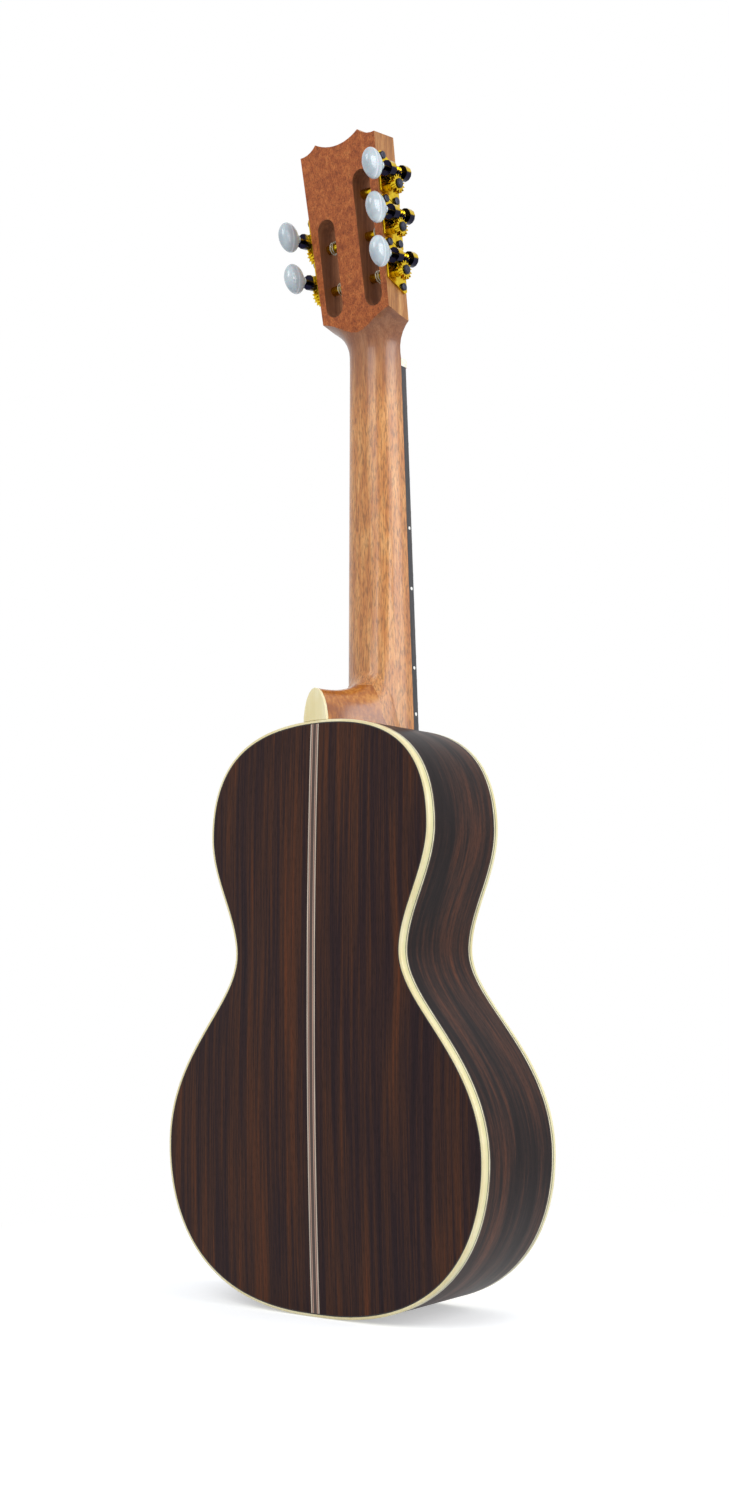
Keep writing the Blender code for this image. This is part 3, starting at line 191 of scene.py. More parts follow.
world = bpy.data.worlds.new("white_studio")
bpy.context.scene.world = world
world.use_nodes = True
tree = world.node_tree
tree.nodes.clear()
lighting = add(tree, "ShaderNodeBackground", {"Color": linear("F4F6FA"), "Strength": 0.72})
backdrop = add(tree, "ShaderNodeBackground", {"Color": WHITE, "Strength": 1.0})
shown = add(tree, "ShaderNodeMixShader", {0: background_ray(tree), 1: lighting, 2: backdrop})
add(tree, "ShaderNodeOutputWorld", {"Surface": shown})

BODY_MIDDLE = Vector((0, 0, 0.33))
for name, place, size, watts in (
    ("key_lamp", (-0.3, 1.6, 1.5), 1.2, 16),
    ("side_lamp", (-1.6, -0.4, 1.0), 1.2, 18),
):
    lamp = bpy.data.objects.new(name, bpy.data.lights.new(name, "AREA"))
    lamp.data.size = size
    lamp.data.energy = watts
    lamp.location = place
    lamp.rotation_euler = (BODY_MIDDLE - Vector(place)).to_track_quat("-Z", "Y").to_euler()
    bpy.context.scene.collection.objects.link(lamp)

bpy.context.scene.view_settings.view_transform = "Standard"


# Shape helpers: a grid of points or a CAD node's own faces become a mesh, which joins the scene on
# its body, stands for the CAD nodes that it dresses, and gets its thickness and broken edges.
SMOOTH_BELOW = 35
CAD_DOUBLES = 0.002 * MM
CAD_FLAT = 0.4


def grid_mesh(name, points, close_u=False, close_v=False, uv=None, attribute=None):
    """A mesh over a grid of points (u, v, xyz): each cell is one face, and a closed way wraps round.

    uv gives each grid point its texture place, and attribute is (name, one number for each point).
    """
    rows, columns = points.shape[:2]
    index = np.arange(rows * columns).reshape(rows, columns)
    if close_u:
        index = np.concatenate([index, index[:1]])
    if close_v:
        index = np.concatenate([index, index[:, :1]], axis=1)
    cells = [index[:-1, :-1], index[1:, :-1], index[1:, 1:], index[:-1, 1:]]
    faces = np.stack(cells, axis=-1).reshape(-1, 4)
    mesh = bpy.data.meshes.new(name)
    mesh.from_pydata(points.reshape(-1, 3).tolist(), [], faces.tolist())
    if uv is not None:
        layer = mesh.uv_layers.new(name="along_and_across")
        corner_uv = uv.reshape(-1, 2)[faces.reshape(-1)]
        layer.data.foreach_set("uv", corner_uv.astype(np.float32).reshape(-1))
    if attribute is not None:
        label, numbers = attribute
        values = mesh.attributes.new(label, "FLOAT", "POINT")
        values.data.foreach_set("value", numbers.astype(np.float32).reshape(-1))
    return mesh


def closed_outwards(mesh):
    """Fills the open ends of a closed form and turns its faces outwards."""
    shape = bmesh.new()
    shape.from_mesh(mesh)
    bmesh.ops.holes_fill(shape, edges=[edge for edge in shape.edges if edge.is_boundary])
    bmesh.ops.recalc_face_normals(shape, faces=shape.faces)
    shape.to_mesh(mesh)
    shape.free()
    return mesh


def joined(name, grids):
    """One mesh of several closed forms, each given as a grid of points round its sections."""
    shape = bmesh.new()
    for points in grids:
        shape.from_mesh(closed_outwards(grid_mesh(f"{name}_part", points, close_v=True)))
    mesh = bpy.data.meshes.new(name)
    shape.to_mesh(mesh)
    shape.free()
    return mesh


def merged(node):
    """A copy of a CAD node's loose triangles with its doubles merged, as a mesh of its own."""
    mesh = frame["nodes"][node].data.copy()
    shape = bmesh.new()
    shape.from_mesh(mesh)
    bmesh.ops.remove_doubles(shape, verts=shape.verts, dist=CAD_DOUBLES)
    flat = math.radians(CAD_FLAT)
    bmesh.ops.dissolve_limit(shape, angle_limit=flat, verts=shape.verts, edges=shape.edges)
    fresh = bpy.data.meshes.new(node + "_merged")
    shape.to_mesh(fresh)
    shape.free()
    for layer in list(fresh.attributes):
        if layer.name == "custom_normal":
            fresh.attributes.remove(layer)
    fresh.materials.clear()
    return fresh


def finish_piece(name, mesh, material, nodes=(), body="instrument", sharp=SMOOTH_BELOW):
    """Puts a finished mesh in the scene, riding on its body and standing for its CAD nodes."""
    piece = bpy.data.objects.new(name, mesh)
    bpy.context.scene.collection.objects.link(piece)
    mesh.shade_smooth()
    mesh.set_sharp_from_angle(angle=math.radians(sharp))
    if material:
        mesh.materials.append(material)
    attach(piece, body)
    if nodes:
        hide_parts(*nodes)
    return piece


def solidified(piece, thickness):
    """Gives a sheet its thickness, on the side away from its faces."""
    modifier = piece.modifiers.new("thickness", "SOLIDIFY")
    modifier.thickness = thickness
    modifier.offset = -1
    modifier.use_even_offset = True
    crisp = piece.modifiers.new("crisp_edges", "EDGE_SPLIT")
    crisp.split_angle = math.radians(SMOOTH_BELOW)


def bevelled(piece, width, angle=SMOOTH_BELOW):
    """Breaks a piece's sharp edges by a real width."""
    modifier = piece.modifiers.new("broken_edges", "BEVEL")
    modifier.width = width
    modifier.segments = 2
    modifier.limit_method = "ANGLE"
    modifier.angle_limit = math.radians(angle)
    modifier.harden_normals = True


def repaint(material, *nodes):
    """Gives CAD nodes whose shape is right their finished material."""
    for node in nodes:
        for slot in frame["nodes"][node].material_slots:
            slot.material = material


# Sides: two strips of rosewood 2.2 mm thick, bent on a hot iron to the body's outline and butted
# at the tail and under the neck. The grain follows the bend, and a clear satin lacquer covers it.
BODY_LENGTH = 319 * MM
TAIL_FLAT_HALF = 5 * MM
LOWER_BOUT, LOWER_BOUT_Z = (108 * MM, 86 * MM)
WAIST, WAIST_Z = (57.75 * MM, 191 * MM)
UPPER_BOUT, UPPER_BOUT_Z = (76.5 * MM, 258 * MM)
FRONT_Y = -35 * MM
TAIL_DEPTH = 70 * MM
NECK_END_DEPTH = 65 * MM
GLUE_GAP = 0.1 * MM
SIDE_THICKNESS = 2.2 * MM
SIDE_RECESS = 0.05 * MM
# how far each side's pattern is moved its own way, so that the two don't repeat each other
PATTERN_APART = 0.2
# the binding's cream and lines together, which reach less far down the side at the front
BINDING_HEIGHT = 6.1 * MM
FRONT_CREAM_CUT = 1.4 * MM


def half_outline(steps=36):
    """Points (x, z) up the +X half of the body and their inward normals.

    Four cubic curves run through the tail, the lower bout, the waist, the upper bout and the top,
    each by (1-t)^3 a + 3(1-t)^2 t b + 3(1-t) t^2 c + t^3 d, and the normal is the turned derivative.
    """
    knots = [(TAIL_FLAT_HALF, 0), (LOWER_BOUT, LOWER_BOUT_Z), (WAIST, WAIST_Z)]
    knots += [(UPPER_BOUT, UPPER_BOUT_Z), (0, BODY_LENGTH)]
    pulls = [((81, 0), (0, -39)), ((0, 51), (0, -27.5)), ((0, 21.5), (0, -24.7)), ((0, 47.5), (43.4, 0))]
    t = np.linspace(0, 1, steps + 1)[:, None]
    points, slopes = [], []
    for start, end, (leave, arrive) in zip(knots, knots[1:], pulls):
        a, d = np.array(start), np.array(end)
        b, c = a + np.array(leave) * MM, d + np.array(arrive) * MM
        run = (1 - t) ** 3 * a + 3 * (1 - t) ** 2 * t * b + 3 * (1 - t) * t**2 * c + t**3 * d
        slope = (1 - t) ** 2 * (b - a) + 2 * (1 - t) * t * (c - b) + t**2 * (d - c)
        keep = slice(0 if not points else 1, None)
        points.append(run[keep])
        slopes.append(slope[keep])
    points, slopes = np.concatenate(points), np.concatenate(slopes)
    slopes /= np.linalg.norm(slopes, axis=1)[:, None]
    return points, np.stack([-slopes[:, 1], slopes[:, 0]], axis=1)


HALF, INWARD = half_outline()


def rim_y(z):
    """The back's rim, which comes nearer to the soundboard towards the neck."""
    return FRONT_Y + TAIL_DEPTH + (NECK_END_DEPTH - TAIL_DEPTH) * z / BODY_LENGTH


def rosewood(name, source, sizes, seed, gloss, stops):
    """Quarter-sawn rosewood under satin lacquer: purple-brown ground, straight dark and rust-red
    streaks a few millimetres wide, and fine open pores along the grain.

    sizes(across, along) puts the grain on the axes of the source, Object or UV coordinates, gloss
    is the weight of the lacquer's clear coat over the open-pored wood, and stops are its tones.
    """
    material, tree, place, surface = new_material(name, source)
    bands = grain(tree, place, sizes(17, 420), seed, 2.0, 0.15)
    streaks = grain(tree, place, sizes(3.6, 170), seed + 3.1, 4.0, 0.25)
    lines = grain(tree, place, sizes(0.9, 60), seed + 7.7, 3.0, 0.1)
    pores = grain(tree, place, sizes(0.34, 5.5), seed + 11.3, 1.0)
    tone = blended(tree, 0.3, blended(tree, 0.42, streaks, lines), bands)
    shade = remapped(tree, pores, 0.36, 0.5, 0.55, 1.0)
    colour = mixed(tree, 0.7, toned(tree, tone, stops), shade, "MULTIPLY")
    rough = remapped(tree, streaks, 0.3, 0.7, 0.52, 0.42)
    relief = bumped(tree, 0.12, 0.05 * MM, shade)
    inputs = {"Base Color": colour, "Roughness": rough, "Normal": relief, "Specular IOR Level": 0.08}
    principled(tree, surface, inputs | {"Coat Weight": gloss, "Coat Roughness": 0.25})
    return material


def bent_sizes(across, along):
    """Grain sizes on the strip's length and height, broader and wilder than the back's."""
    return (along * 0.6, across * 2.4, 0)


def side_grid(side, pattern_start):
    """One side's outer face: the outline carried from the front's lines to the back's, and its
    texture places, which follow the strip's own length and height."""
    line = HALF + INWARD * SIDE_RECESS
    # the strip starts at the seam on the tail's flat, before the curve
    line = np.concatenate([[(GLUE_GAP / 2, SIDE_RECESS)], line])
    line[-1, 0] = GLUE_GAP / 2
    steps = np.linalg.norm(np.diff(HALF, axis=0), axis=1)
    length = np.concatenate([[0, TAIL_FLAT_HALF], TAIL_FLAT_HALF + np.cumsum(steps)])[:, None]
    low_y = FRONT_Y + BINDING_HEIGHT - FRONT_CREAM_CUT + GLUE_GAP
    high_y = (rim_y(line[:, 1]) - BINDING_HEIGHT - GLUE_GAP)[:, None]
    y = low_y + (high_y - low_y) * np.linspace(0, 1, 9)
    x = np.broadcast_to(side * line[:, :1], y.shape)
    z = np.broadcast_to(line[:, 1:], y.shape)
    along = np.broadcast_to(length + pattern_start, y.shape)
    points = np.stack([x, y, z], axis=-1)
    uv = np.stack([along, y + side * PATTERN_APART], axis=-1)
    return points[::-side], uv[::-side]


bent_stops = [(0.36, "130B0D"), (0.45, "1B1112"), (0.5, "281815"), (0.56, "3C231A"), (0.66, "58301E")]
bent_rosewood = rosewood("rosewood_bent_lacquered", "UV", bent_sizes, 4.2, 0.11, bent_stops)
for word, hand, side, pattern_start in (("treble", "left", 1, 0.0), ("bass", "right", -1, 0.37)):
    points, uv = side_grid(side, pattern_start)
    name = f"bent_side_{word}"
    mesh = grid_mesh(name, points, uv=uv)
    solidified(finish_piece(name, mesh, bent_rosewood, [f"side_{hand}"]), SIDE_THICKNESS)


# Inner woods: linings, end blocks, braces and bridge patch are split spruce, sawn and left bare.
# They show only through the soundhole, pale and dry, with fine straight year rings.
def upright(across, along):
    """Grain sizes of wood that stands up the body."""
    return (across, across * 4, along)


def level(across, along):
    """Grain sizes of wood that lies across the body."""
    return (along, across, across * 4)


def spruce(name, sizes, seed, roughness):
    """Quarter-sawn spruce: cream wood with thin amber late-wood lines about a millimetre apart."""
    material, tree, place, surface = new_material(name)
    rings = grain(tree, place, sizes(0.9, 260), seed, 2.0, 0.05)
    cloud = grain(tree, place, sizes(22, 120), seed + 5, 2.0)
    silk = grain(tree, place, sizes(3.0, 1.1), seed + 9, 1.0)
    stops = [(0.36, "CBA063"), (0.45, "D8B27A"), (0.55, "E2C290"), (0.68, "E9CFA4")]
    colour = toned(tree, blended(tree, 0.25, rings, cloud), stops)
    rough = remapped(tree, silk, 0.3, 0.7, roughness + 0.06, roughness - 0.06)
    relief = bumped(tree, 0.1, 0.04 * MM, rings)
    principled(tree, surface, {"Base Color": colour, "Roughness": rough, "Normal": relief})
    return material


bare_spruce = spruce("spruce_sawn_bare", upright, 2.0, 0.75)
cross_spruce = spruce("spruce_brace_bare", level, 6.0, 0.75)
repaint(bare_spruce, "lining_front_left", "lining_front_right", "lining_back_left", "lining_back_right")
repaint(cross_spruce, "neck_block", "tail_block", "soundboard_bracing", "back_bracing", "bridge_patch")

# Soundboard: a flat spruce plate, glued to the linings and lacquered, with a turned rosette
# inlaid round the hole: rings of walnut-brown wood between fine black and cream lines.
HOLE_Z = BODY_LENGTH - 107 * MM
ROSETTE_INNER, ROSETTE_OUTER = 35 * MM, 43 * MM
BLACK_LINE, CREAM_LINE, WALNUT = "17120F", "E3D3A8", "6A4128"
lacquered_spruce = spruce("spruce_soundboard_lacquered", upright, 12.0, 0.32)
repaint(lacquered_spruce, "soundboard")
rosette_wood, tree, place, surface = new_material("rosette_inlaid_rings")
hole_centre = (0, FRONT_Y, HOLE_Z)
centred = add(tree, "ShaderNodeVectorMath", {0: place, 1: hole_centre}, operation="SUBTRACT")
radius = add(tree, "ShaderNodeVectorMath", {0: centred}, operation="LENGTH").node.outputs["Value"]
share = remapped(tree, radius, ROSETTE_INNER, ROSETTE_OUTER)
stops = [(0.0, BLACK_LINE), (0.06, CREAM_LINE), (0.12, BLACK_LINE), (0.2, WALNUT), (0.42, BLACK_LINE)]
stops += [(0.47, CREAM_LINE), (0.53, BLACK_LINE), (0.6, WALNUT), (0.82, BLACK_LINE)]
stops += [(0.9, CREAM_LINE), (0.96, BLACK_LINE)]
rings = toned(tree, share, stops, "CONSTANT")
figure = remapped(tree, grain(tree, place, (1.4, 0, 5), 3.0, 3.0), 0.3, 0.7, 0.8, 1.15)
colour = mixed(tree, 1.0, rings, figure, "MULTIPLY")
inputs = {"Base Color": colour, "Roughness": 0.32, "Coat Weight": 0.2, "Coat Roughness": 0.15}
principled(tree, surface, inputs)
repaint(rosette_wood, "rosette")

# Back: two bookmatched rosewood plates, arched across and along by the braces under them and
# glued edge to edge on a thin centre strip. Satin lacquer, grain straight up the body.
BINDING_WIDTH = 2 * MM
BACK_ARCH = 3.9 * MM
PLATE_THICKNESS = 2.5 * MM
STRIP_HALF = 3.1 * MM
# the plates' outline leaves out its ends, where less than this is left beside the strip
LEAST_PLATE = 0.6 * MM
INSIDE = HALF + INWARD * BINDING_WIDTH


def back_y(x, z):
    """The arched back: its rim plus 4 t (1 - t) (1 - a^2) of the arch, where t is the share of the
    body's length and a the share of the half width inside the binding."""
    t = np.clip(z / BODY_LENGTH, 0, 1)
    reach = np.interp(z, INSIDE[:, 1], INSIDE[:, 0])
    across = np.minimum(np.abs(x) / reach, 1)
    return rim_y(z) + BACK_ARCH * 4 * t * (1 - t) * (1 - across**2)


def back_sizes(across, along):
    """Grain sizes across the plate, through it and up it."""
    return (across, across * 40, along)


back_stops = [(0.36, "1F1519"), (0.45, "2A1B1D"), (0.5, "34211D"), (0.56, "44291D"), (0.68, "63341C")]
back_rosewood = rosewood("rosewood_bookmatched_lacquered", "Object", back_sizes, 1.3, 0.06, back_stops)
edge = STRIP_HALF + GLUE_GAP
plate_line = HALF + INWARD * (BINDING_WIDTH + GLUE_GAP)
plate_line = plate_line[plate_line[:, 0] > edge + LEAST_PLATE]
x = edge + (plate_line[:, :1] - edge) * np.linspace(0, 1, 21)
z = np.broadcast_to(plate_line[:, 1:], x.shape)
for word, hand, side in (("treble", "left", 1), ("bass", "right", -1)):
    name = f"arched_back_{word}"
    points = np.stack([side * x, back_y(x, z), z], axis=-1)[::side]
    mesh = grid_mesh(name, points)
    solidified(finish_piece(name, mesh, back_rosewood, [f"back_{hand}"]), PLATE_THICKNESS)

# Centre strip: laminated veneers on edge, 6.2 mm wide, let in between the plates: a brown core, and
# on each side a thin black, a rosy, a brown and a pale line, and a black outer edge.
strip_wood, tree, place, surface = new_material("centre_strip_laminated")
across = add(tree, "ShaderNodeSeparateXYZ", {0: place})
across = add(tree, "ShaderNodeMath", {0: across}, operation="ABSOLUTE")
stops = [(0.0, "3A2418"), (0.26, "1C1412"), (0.32, "A8826F"), (0.52, "3A2620")]
stops += [(0.66, "C4B09C"), (0.88, "1C1412")]
lines = toned(tree, remapped(tree, across, 0, STRIP_HALF), stops, "CONSTANT")
figure = remapped(tree, grain(tree, place, (0.5, 40, 26), 8.0, 3.0), 0.3, 0.7, 0.72, 1.25)
colour = mixed(tree, 1.0, lines, figure, "MULTIPLY")
inputs = {"Base Color": colour, "Roughness": 0.36, "Coat Weight": 0.25, "Coat Roughness": 0.2}
principled(tree, surface, inputs)
inset = BINDING_WIDTH + GLUE_GAP
up, sideways = np.linspace(inset, BODY_LENGTH - inset, 61), np.linspace(-STRIP_HALF, STRIP_HALF, 7)
z, x = np.meshgrid(up, sideways, indexing="ij")
mesh = grid_mesh("centre_strip", np.stack([x, back_y(x, z), z], axis=-1))
solidified(finish_piece("centre_strip", mesh, strip_wood, ["back_strip"]), PLATE_THICKNESS)

# Binding: cream celluloid strips, 1.5 mm thick, 4 mm high at the back and lower at the front, bent
# hot and glued into the ledges round both edges, scraped flush and rounded. Their sides are greener.
CREAM_WIDTH = 1.5
CREAM_HEIGHT = {"back": 4.0, "front": 4.0 - FRONT_CREAM_CUT / MM}
CREAM_ROUND = 0.7
binding_cream, tree, place, surface = new_material("celluloid_binding_polished")
cloud = grain(tree, place, (26, 26, 26), 1.0, 3.0)
streak = grain(tree, place, (1.1, 0.5, 40), 4.0, 2.0)
tone = blended(tree, 0.35, cloud, streak)
colour = toned(tree, tone, [(0.38, "DCCD98"), (0.5, "E2D5A6"), (0.62, "E8DEB6")])
side_colour = toned(tree, tone, [(0.38, "C8C38A"), (0.62, "D6D29E")])
colour = mixed(tree, marked(tree, "on_side"), colour, side_colour)
inputs = {"Base Color": colour, "Roughness": 0.3, "IOR": 1.5, "Coat Weight": 0.3, "Coat Roughness": 0.1}
inputs |= {"Subsurface Weight": 0.15, "Subsurface Scale": 0.8 * MM, "Subsurface Radius": (1.0, 0.8, 0.5)}
principled(tree, surface, inputs)


def hoop(name, profile, where):
    """A closed profile of (inset, depth) points in mm from the front's or the back's rim, carried
    once round the body's outline."""
    insets, depths = np.array(profile, dtype=float).T * MM
    line = np.concatenate([HALF, HALF[-2::-1] * (-1, 1)])
    inward = np.concatenate([INWARD, INWARD[-2::-1] * (-1, 1)])
    x = line[:, :1] + inward[:, :1] * insets
    z = line[:, 1:] + inward[:, 1:] * insets
    if where == "back":
        y = rim_y(line[:, 1:]) - depths
    else:
        y = np.broadcast_to(FRONT_Y + depths, x.shape)
    on_side = np.broadcast_to(depths > CREAM_ROUND * MM, y.shape)
    points = np.stack([x, y, z], axis=-1)
    mesh = grid_mesh(name, points, close_u=True, close_v=True, attribute=("on_side", on_side))
    return closed_outwards(mesh)


angles = np.radians(np.linspace(0, 90, 5))
corner = [(CREAM_ROUND * (1 - math.sin(a)), CREAM_ROUND * (1 - math.cos(a))) for a in angles]
for where, height in CREAM_HEIGHT.items():
    name = f"celluloid_binding_{where}"
    profile = [(CREAM_WIDTH, height), (CREAM_WIDTH, 0)] + corner + [(0, height)]
    mesh = hoop(name, profile, where)
    finish_piece(name, mesh, binding_cream, [f"binding_{where}"], sharp=60)


# Purfling: veneer lines glued in beside each binding, a black one 0.6 mm wide at the plate's edge,
# and a black, a pale and a black one on the side, 2.2 mm together.
def veneer(name, seed, stops, roughness):
    """A thin dyed or bare veneer with short soft fibres."""
    material, tree, place, surface = new_material(name)
    colour = toned(tree, grain(tree, place, (2, 2, 9), seed, 3.0), stops)
    principled(tree, surface, {"Base Color": colour, "Roughness": roughness})
    return material


black_veneer = veneer("veneer_dyed_black", 2.0, [(0.35, "120E0D"), (0.65, "2A201C")], 0.4)
pale_veneer = veneer("veneer_maple", 5.0, [(0.35, "B9AE8C"), (0.65, "DAD2B0")], 0.35)
# each line: from inset to inset and from depth to depth in mm, the side's from the cream's edge on
veneer_lines = (
    ("plate_line", black_veneer, "ebony", (CREAM_WIDTH, 2.1), (-0.02, 2.5)),
    ("side_line_outer", black_veneer, "ebony", (0.02, 2.1), (0, 0.5)),
    ("side_line_pale", pale_veneer, "cream_binding", (0.02, 2.1), (0.5, 1.5)),
    ("side_line_inner", black_veneer, "ebony", (0.02, 2.1), (1.5, 2.2)),
)
for where, height in CREAM_HEIGHT.items():
    for line_name, material, slot, (near, far), (high, low) in veneer_lines:
        start = 0 if line_name == "plate_line" else height
        profile = [(near, start + low), (near, start + high), (far, start + high), (far, start + low)]
        name = f"{line_name}_{where}"
        finish_piece(name, hoop(name, profile, where), material)


# Neck: one length of mahogany, sawn, shaped and scraped, with its slotted head and its heel.
# The shaft is lacquered bright over long straight grain. The head's back was sawn across the
# fibres' slope, so its cut pores make a fine speckle, and the head's sides show plain lines.
NUT_Z = BODY_LENGTH + 217.4 * MM
COVE_SHADE_START, COVE_SHADE_END = NUT_Z - 30 * MM, NUT_Z + 14 * MM
HEAD_TILT = math.radians(9)
HEAD_FACE_Z = NUT_Z + 5 * MM
HEAD_START, SLOTS_START = NUT_Z + 16 * MM, NUT_Z + 30 * MM
SLOTS_END, CREST_START = NUT_Z + 115 * MM, NUT_Z + 120 * MM
SLOT_REACH, HEAD_SIDE_REACH = 22.5 * MM, 23 * MM
HEAD_BACK_DEPTH = 18 * MM
HEEL_TOP, HEEL_FRONT = BODY_LENGTH + 24 * MM, FRONT_Y + 22 * MM
# the cosine of the angle between a face and the way that its kind looks, at least, and for the
# walls of the slots, which look away from the head's back, at most
SQUARE_TO_BACK, SQUARE_TO_SIDE, UPWARDS = 0.985, 0.97, 0.7
WALL_AT_MOST = 0.5


def mahogany(name, stops, sizes, seed, roughness, speckle, coat, painted_cove_shade=None):
    """Mahogany: ribbons of lighter and darker wood, thin grain lines and short dark pores.

    sizes are the ribbons' across and along the wood, then the pores' likewise, all in mm, speckle
    is how dark the pores are, and a painted cove shade, if any, darkens the wood at the cove as painted
    shade and fades its pores there.
    """
    material, tree, place, surface = new_material(name)
    across, along, fleck_width, fleck = sizes
    ribbon = grain(tree, place, (across * 3, across * 5, along), seed, 3.0, 0.4)
    line = grain(tree, place, (across * 0.35, across * 0.5, along * 0.7), seed + 2, 3.0, 0.2)
    pores = grain(tree, place, (fleck_width, fleck_width * 1.4, fleck), seed + 5, 2.0)
    colour = toned(tree, blended(tree, 0.45, ribbon, line), stops)
    shade = remapped(tree, pores, 0.34, 0.54, 0.56, 1.05)
    # painted shade: the shaft's wood darkens from 30 mm below the nut up to the cove under the head, and
    # its pores fade there
    if painted_cove_shade:
        height = add(tree, "ShaderNodeSeparateXYZ", {0: place}).node.outputs["Z"]
        share = remapped(tree, height, COVE_SHADE_START, COVE_SHADE_END)
        colour = mixed(tree, share, colour, linear(painted_cove_shade), "MULTIPLY")
        speckle = remapped(tree, share, 0, 1, speckle, speckle * 0.3)
    colour = mixed(tree, speckle, colour, shade, "MULTIPLY")
    inputs = {"Base Color": colour, "Roughness": roughness, "Specular IOR Level": 0.2 + coat}
    inputs |= {"Coat Weight": coat, "Coat Roughness": 0.18, "Normal": bumped(tree, 0.15, 0.04 * MM, shade)}
    principled(tree, surface, inputs)
    return material


def face_measures(mesh):
    """The normals and the centres of a mesh's faces."""
    measures = []
    for kind in ("normal", "center"):
        numbers = np.zeros(len(mesh.polygons) * 3)
        mesh.polygons.foreach_get(kind, numbers)
        measures.append(numbers.reshape(-1, 3))
    return measures


shaft_stops = [(0.34, "A0602C"), (0.46, "B27036"), (0.54, "C08244"), (0.66, "D2985C")]
head_stops = [(0.34, "803D1C"), (0.46, "984F26"), (0.54, "A95C2D"), (0.66, "BE743D")]
side_stops = [(0.34, "7A4A20"), (0.46, "986230"), (0.54, "AC7640"), (0.66, "C2925A")]
# the slot walls are bare wood, and their darker stops are partly painted shade in the slots
slot_shade_stops = [(0.34, "6C4026"), (0.46, "7C4C30"), (0.54, "8A5738"), (0.66, "9C6846")]
heel_stops = [(0.34, "80400C"), (0.46, "965212"), (0.54, "AA641C"), (0.66, "C08038")]
SHAFT, HEAD_BACK, HEAD_SIDE, SLOT_WALL, HEEL = range(5)
mesh = merged("neck")
for settings in (
    # the shaft's last value is the colour of its painted cove shade
    ("mahogany_shaft_lacquered", shaft_stops, (1.2, 26, 0.8, 4.5), 3.0, 0.36, 1.0, 0.3, "B9ACBE"),
    ("mahogany_head_back_lacquered", head_stops, (1.1, 4, 0.5, 0.9), 9.0, 0.45, 1.0, 0.05),
    ("mahogany_head_side_lacquered", side_stops, (0.8, 70, 0.5, 3.2), 15.0, 0.45, 0.3, 0.1),
    ("mahogany_slot_wall_bare", slot_shade_stops, (4.0, 60, 0.5, 3.2), 21.0, 0.8, 0.25, 0.0),
    ("mahogany_heel_lacquered", heel_stops, (5.0, 9, 0.8, 2.0), 27.0, 0.26, 0.3, 0.3),
):
    mesh.materials.append(mahogany(*settings))
normals, centres = face_measures(mesh)
head_back = np.array([0, math.cos(HEAD_TILT), -math.sin(HEAD_TILT)])
facing_back = np.abs(normals @ head_back)
depth = (centres - (0, FRONT_Y, HEAD_FACE_Z)) @ head_back
out, height = np.abs(centres[:, 0]), centres[:, 2]
on_head = height > HEAD_START
in_slots = (height > SLOTS_START) & (height < SLOTS_END) & (out < SLOT_REACH)
kind = np.full(len(mesh.polygons), SHAFT, dtype=np.int32)
kind[in_slots & (facing_back < WALL_AT_MOST)] = SLOT_WALL
kind[on_head & (facing_back > SQUARE_TO_BACK) & (depth > HEAD_BACK_DEPTH)] = HEAD_BACK
kind[on_head & (np.abs(normals[:, 0]) > SQUARE_TO_SIDE) & (out > HEAD_SIDE_REACH)] = HEAD_SIDE
kind[(height > CREST_START) & (normals[:, 2] > UPWARDS)] = HEAD_SIDE
kind[(height < HEEL_TOP) & (centres[:, 1] > HEEL_FRONT)] = HEEL
mesh.polygons.foreach_set("material_index", kind)
bevelled(finish_piece("mahogany_neck", mesh, None, ["neck"], sharp=48), 0.25 * MM, 50)

# Heel cap: a 2 mm slip of the same cream material as the binding, glued on the heel's foot and
# scraped flush with it, its outline a tall half oval over the body's end.
mesh = merged("heel_cap")
bevelled(finish_piece("celluloid_heel_cap", mesh, binding_cream, ["heel_cap"]), 0.25 * MM)

# Fingerboard: ebony planed flat and tapered, oiled and not lacquered, nearly black with a cool
# sheen and hair-thin brown streaks. Its frets are nickel silver wire, pressed into sawn slots.
SCALE_LENGTH = 430 * MM
NUT_HALF_WIDTH, NECK_WIDENING = 16 * MM, 4.5 * MM
BOARD_THICKNESS = 4.8 * MM
BOARD_OVERHANG = 6 * MM
BOARD_EASING = 0.4 * MM
BOARD_FACE_Y = FRONT_Y - GLUE_GAP - BOARD_THICKNESS
FRET_COUNT = 17
FRET_WIDTH = 2 * MM
FRET_HEIGHT = 1 * MM
FRET_FOOT = 0.05 * MM
FRET_INSET = 0.1 * MM
ebony_oiled, tree, place, surface = new_material("ebony_oiled")
streak = grain(tree, place, (1.1, 2.2, 75), 2.5, 4.0, 0.1)
pores = grain(tree, place, (0.25, 0.4, 3.5), 6.5, 1.0)
colour = toned(tree, streak, [(0.36, "17181C"), (0.5, "22242A"), (0.68, "352F2E")])
rough = remapped(tree, pores, 0.35, 0.6, 0.55, 0.36)
relief = bumped(tree, 0.12, 0.04 * MM, pores)
principled(tree, surface, {"Base Color": colour, "Roughness": rough, "Normal": relief})
nickel, tree, place, surface = new_material("nickel_silver_drawn")
rough = remapped(tree, grain(tree, place, (5, 1, 0.4), 1.0, 2.0), 0.3, 0.7, 0.2, 0.34)
principled(tree, surface, {"Base Color": linear("C9C5BA"), "Metallic": 1.0, "Roughness": rough})


def neck_half_width(z):
    """Half the neck's width, which grows evenly from 16 mm at the nut to 20.5 mm at the body."""
    return NUT_HALF_WIDTH + NECK_WIDENING * (NUT_Z - z) / (NUT_Z - BODY_LENGTH)


def fret_z(number):
    """How high a fret stands: each twelfth fret halves the string's length."""
    return NUT_Z - SCALE_LENGTH * (1 - 2 ** (-number / 12))


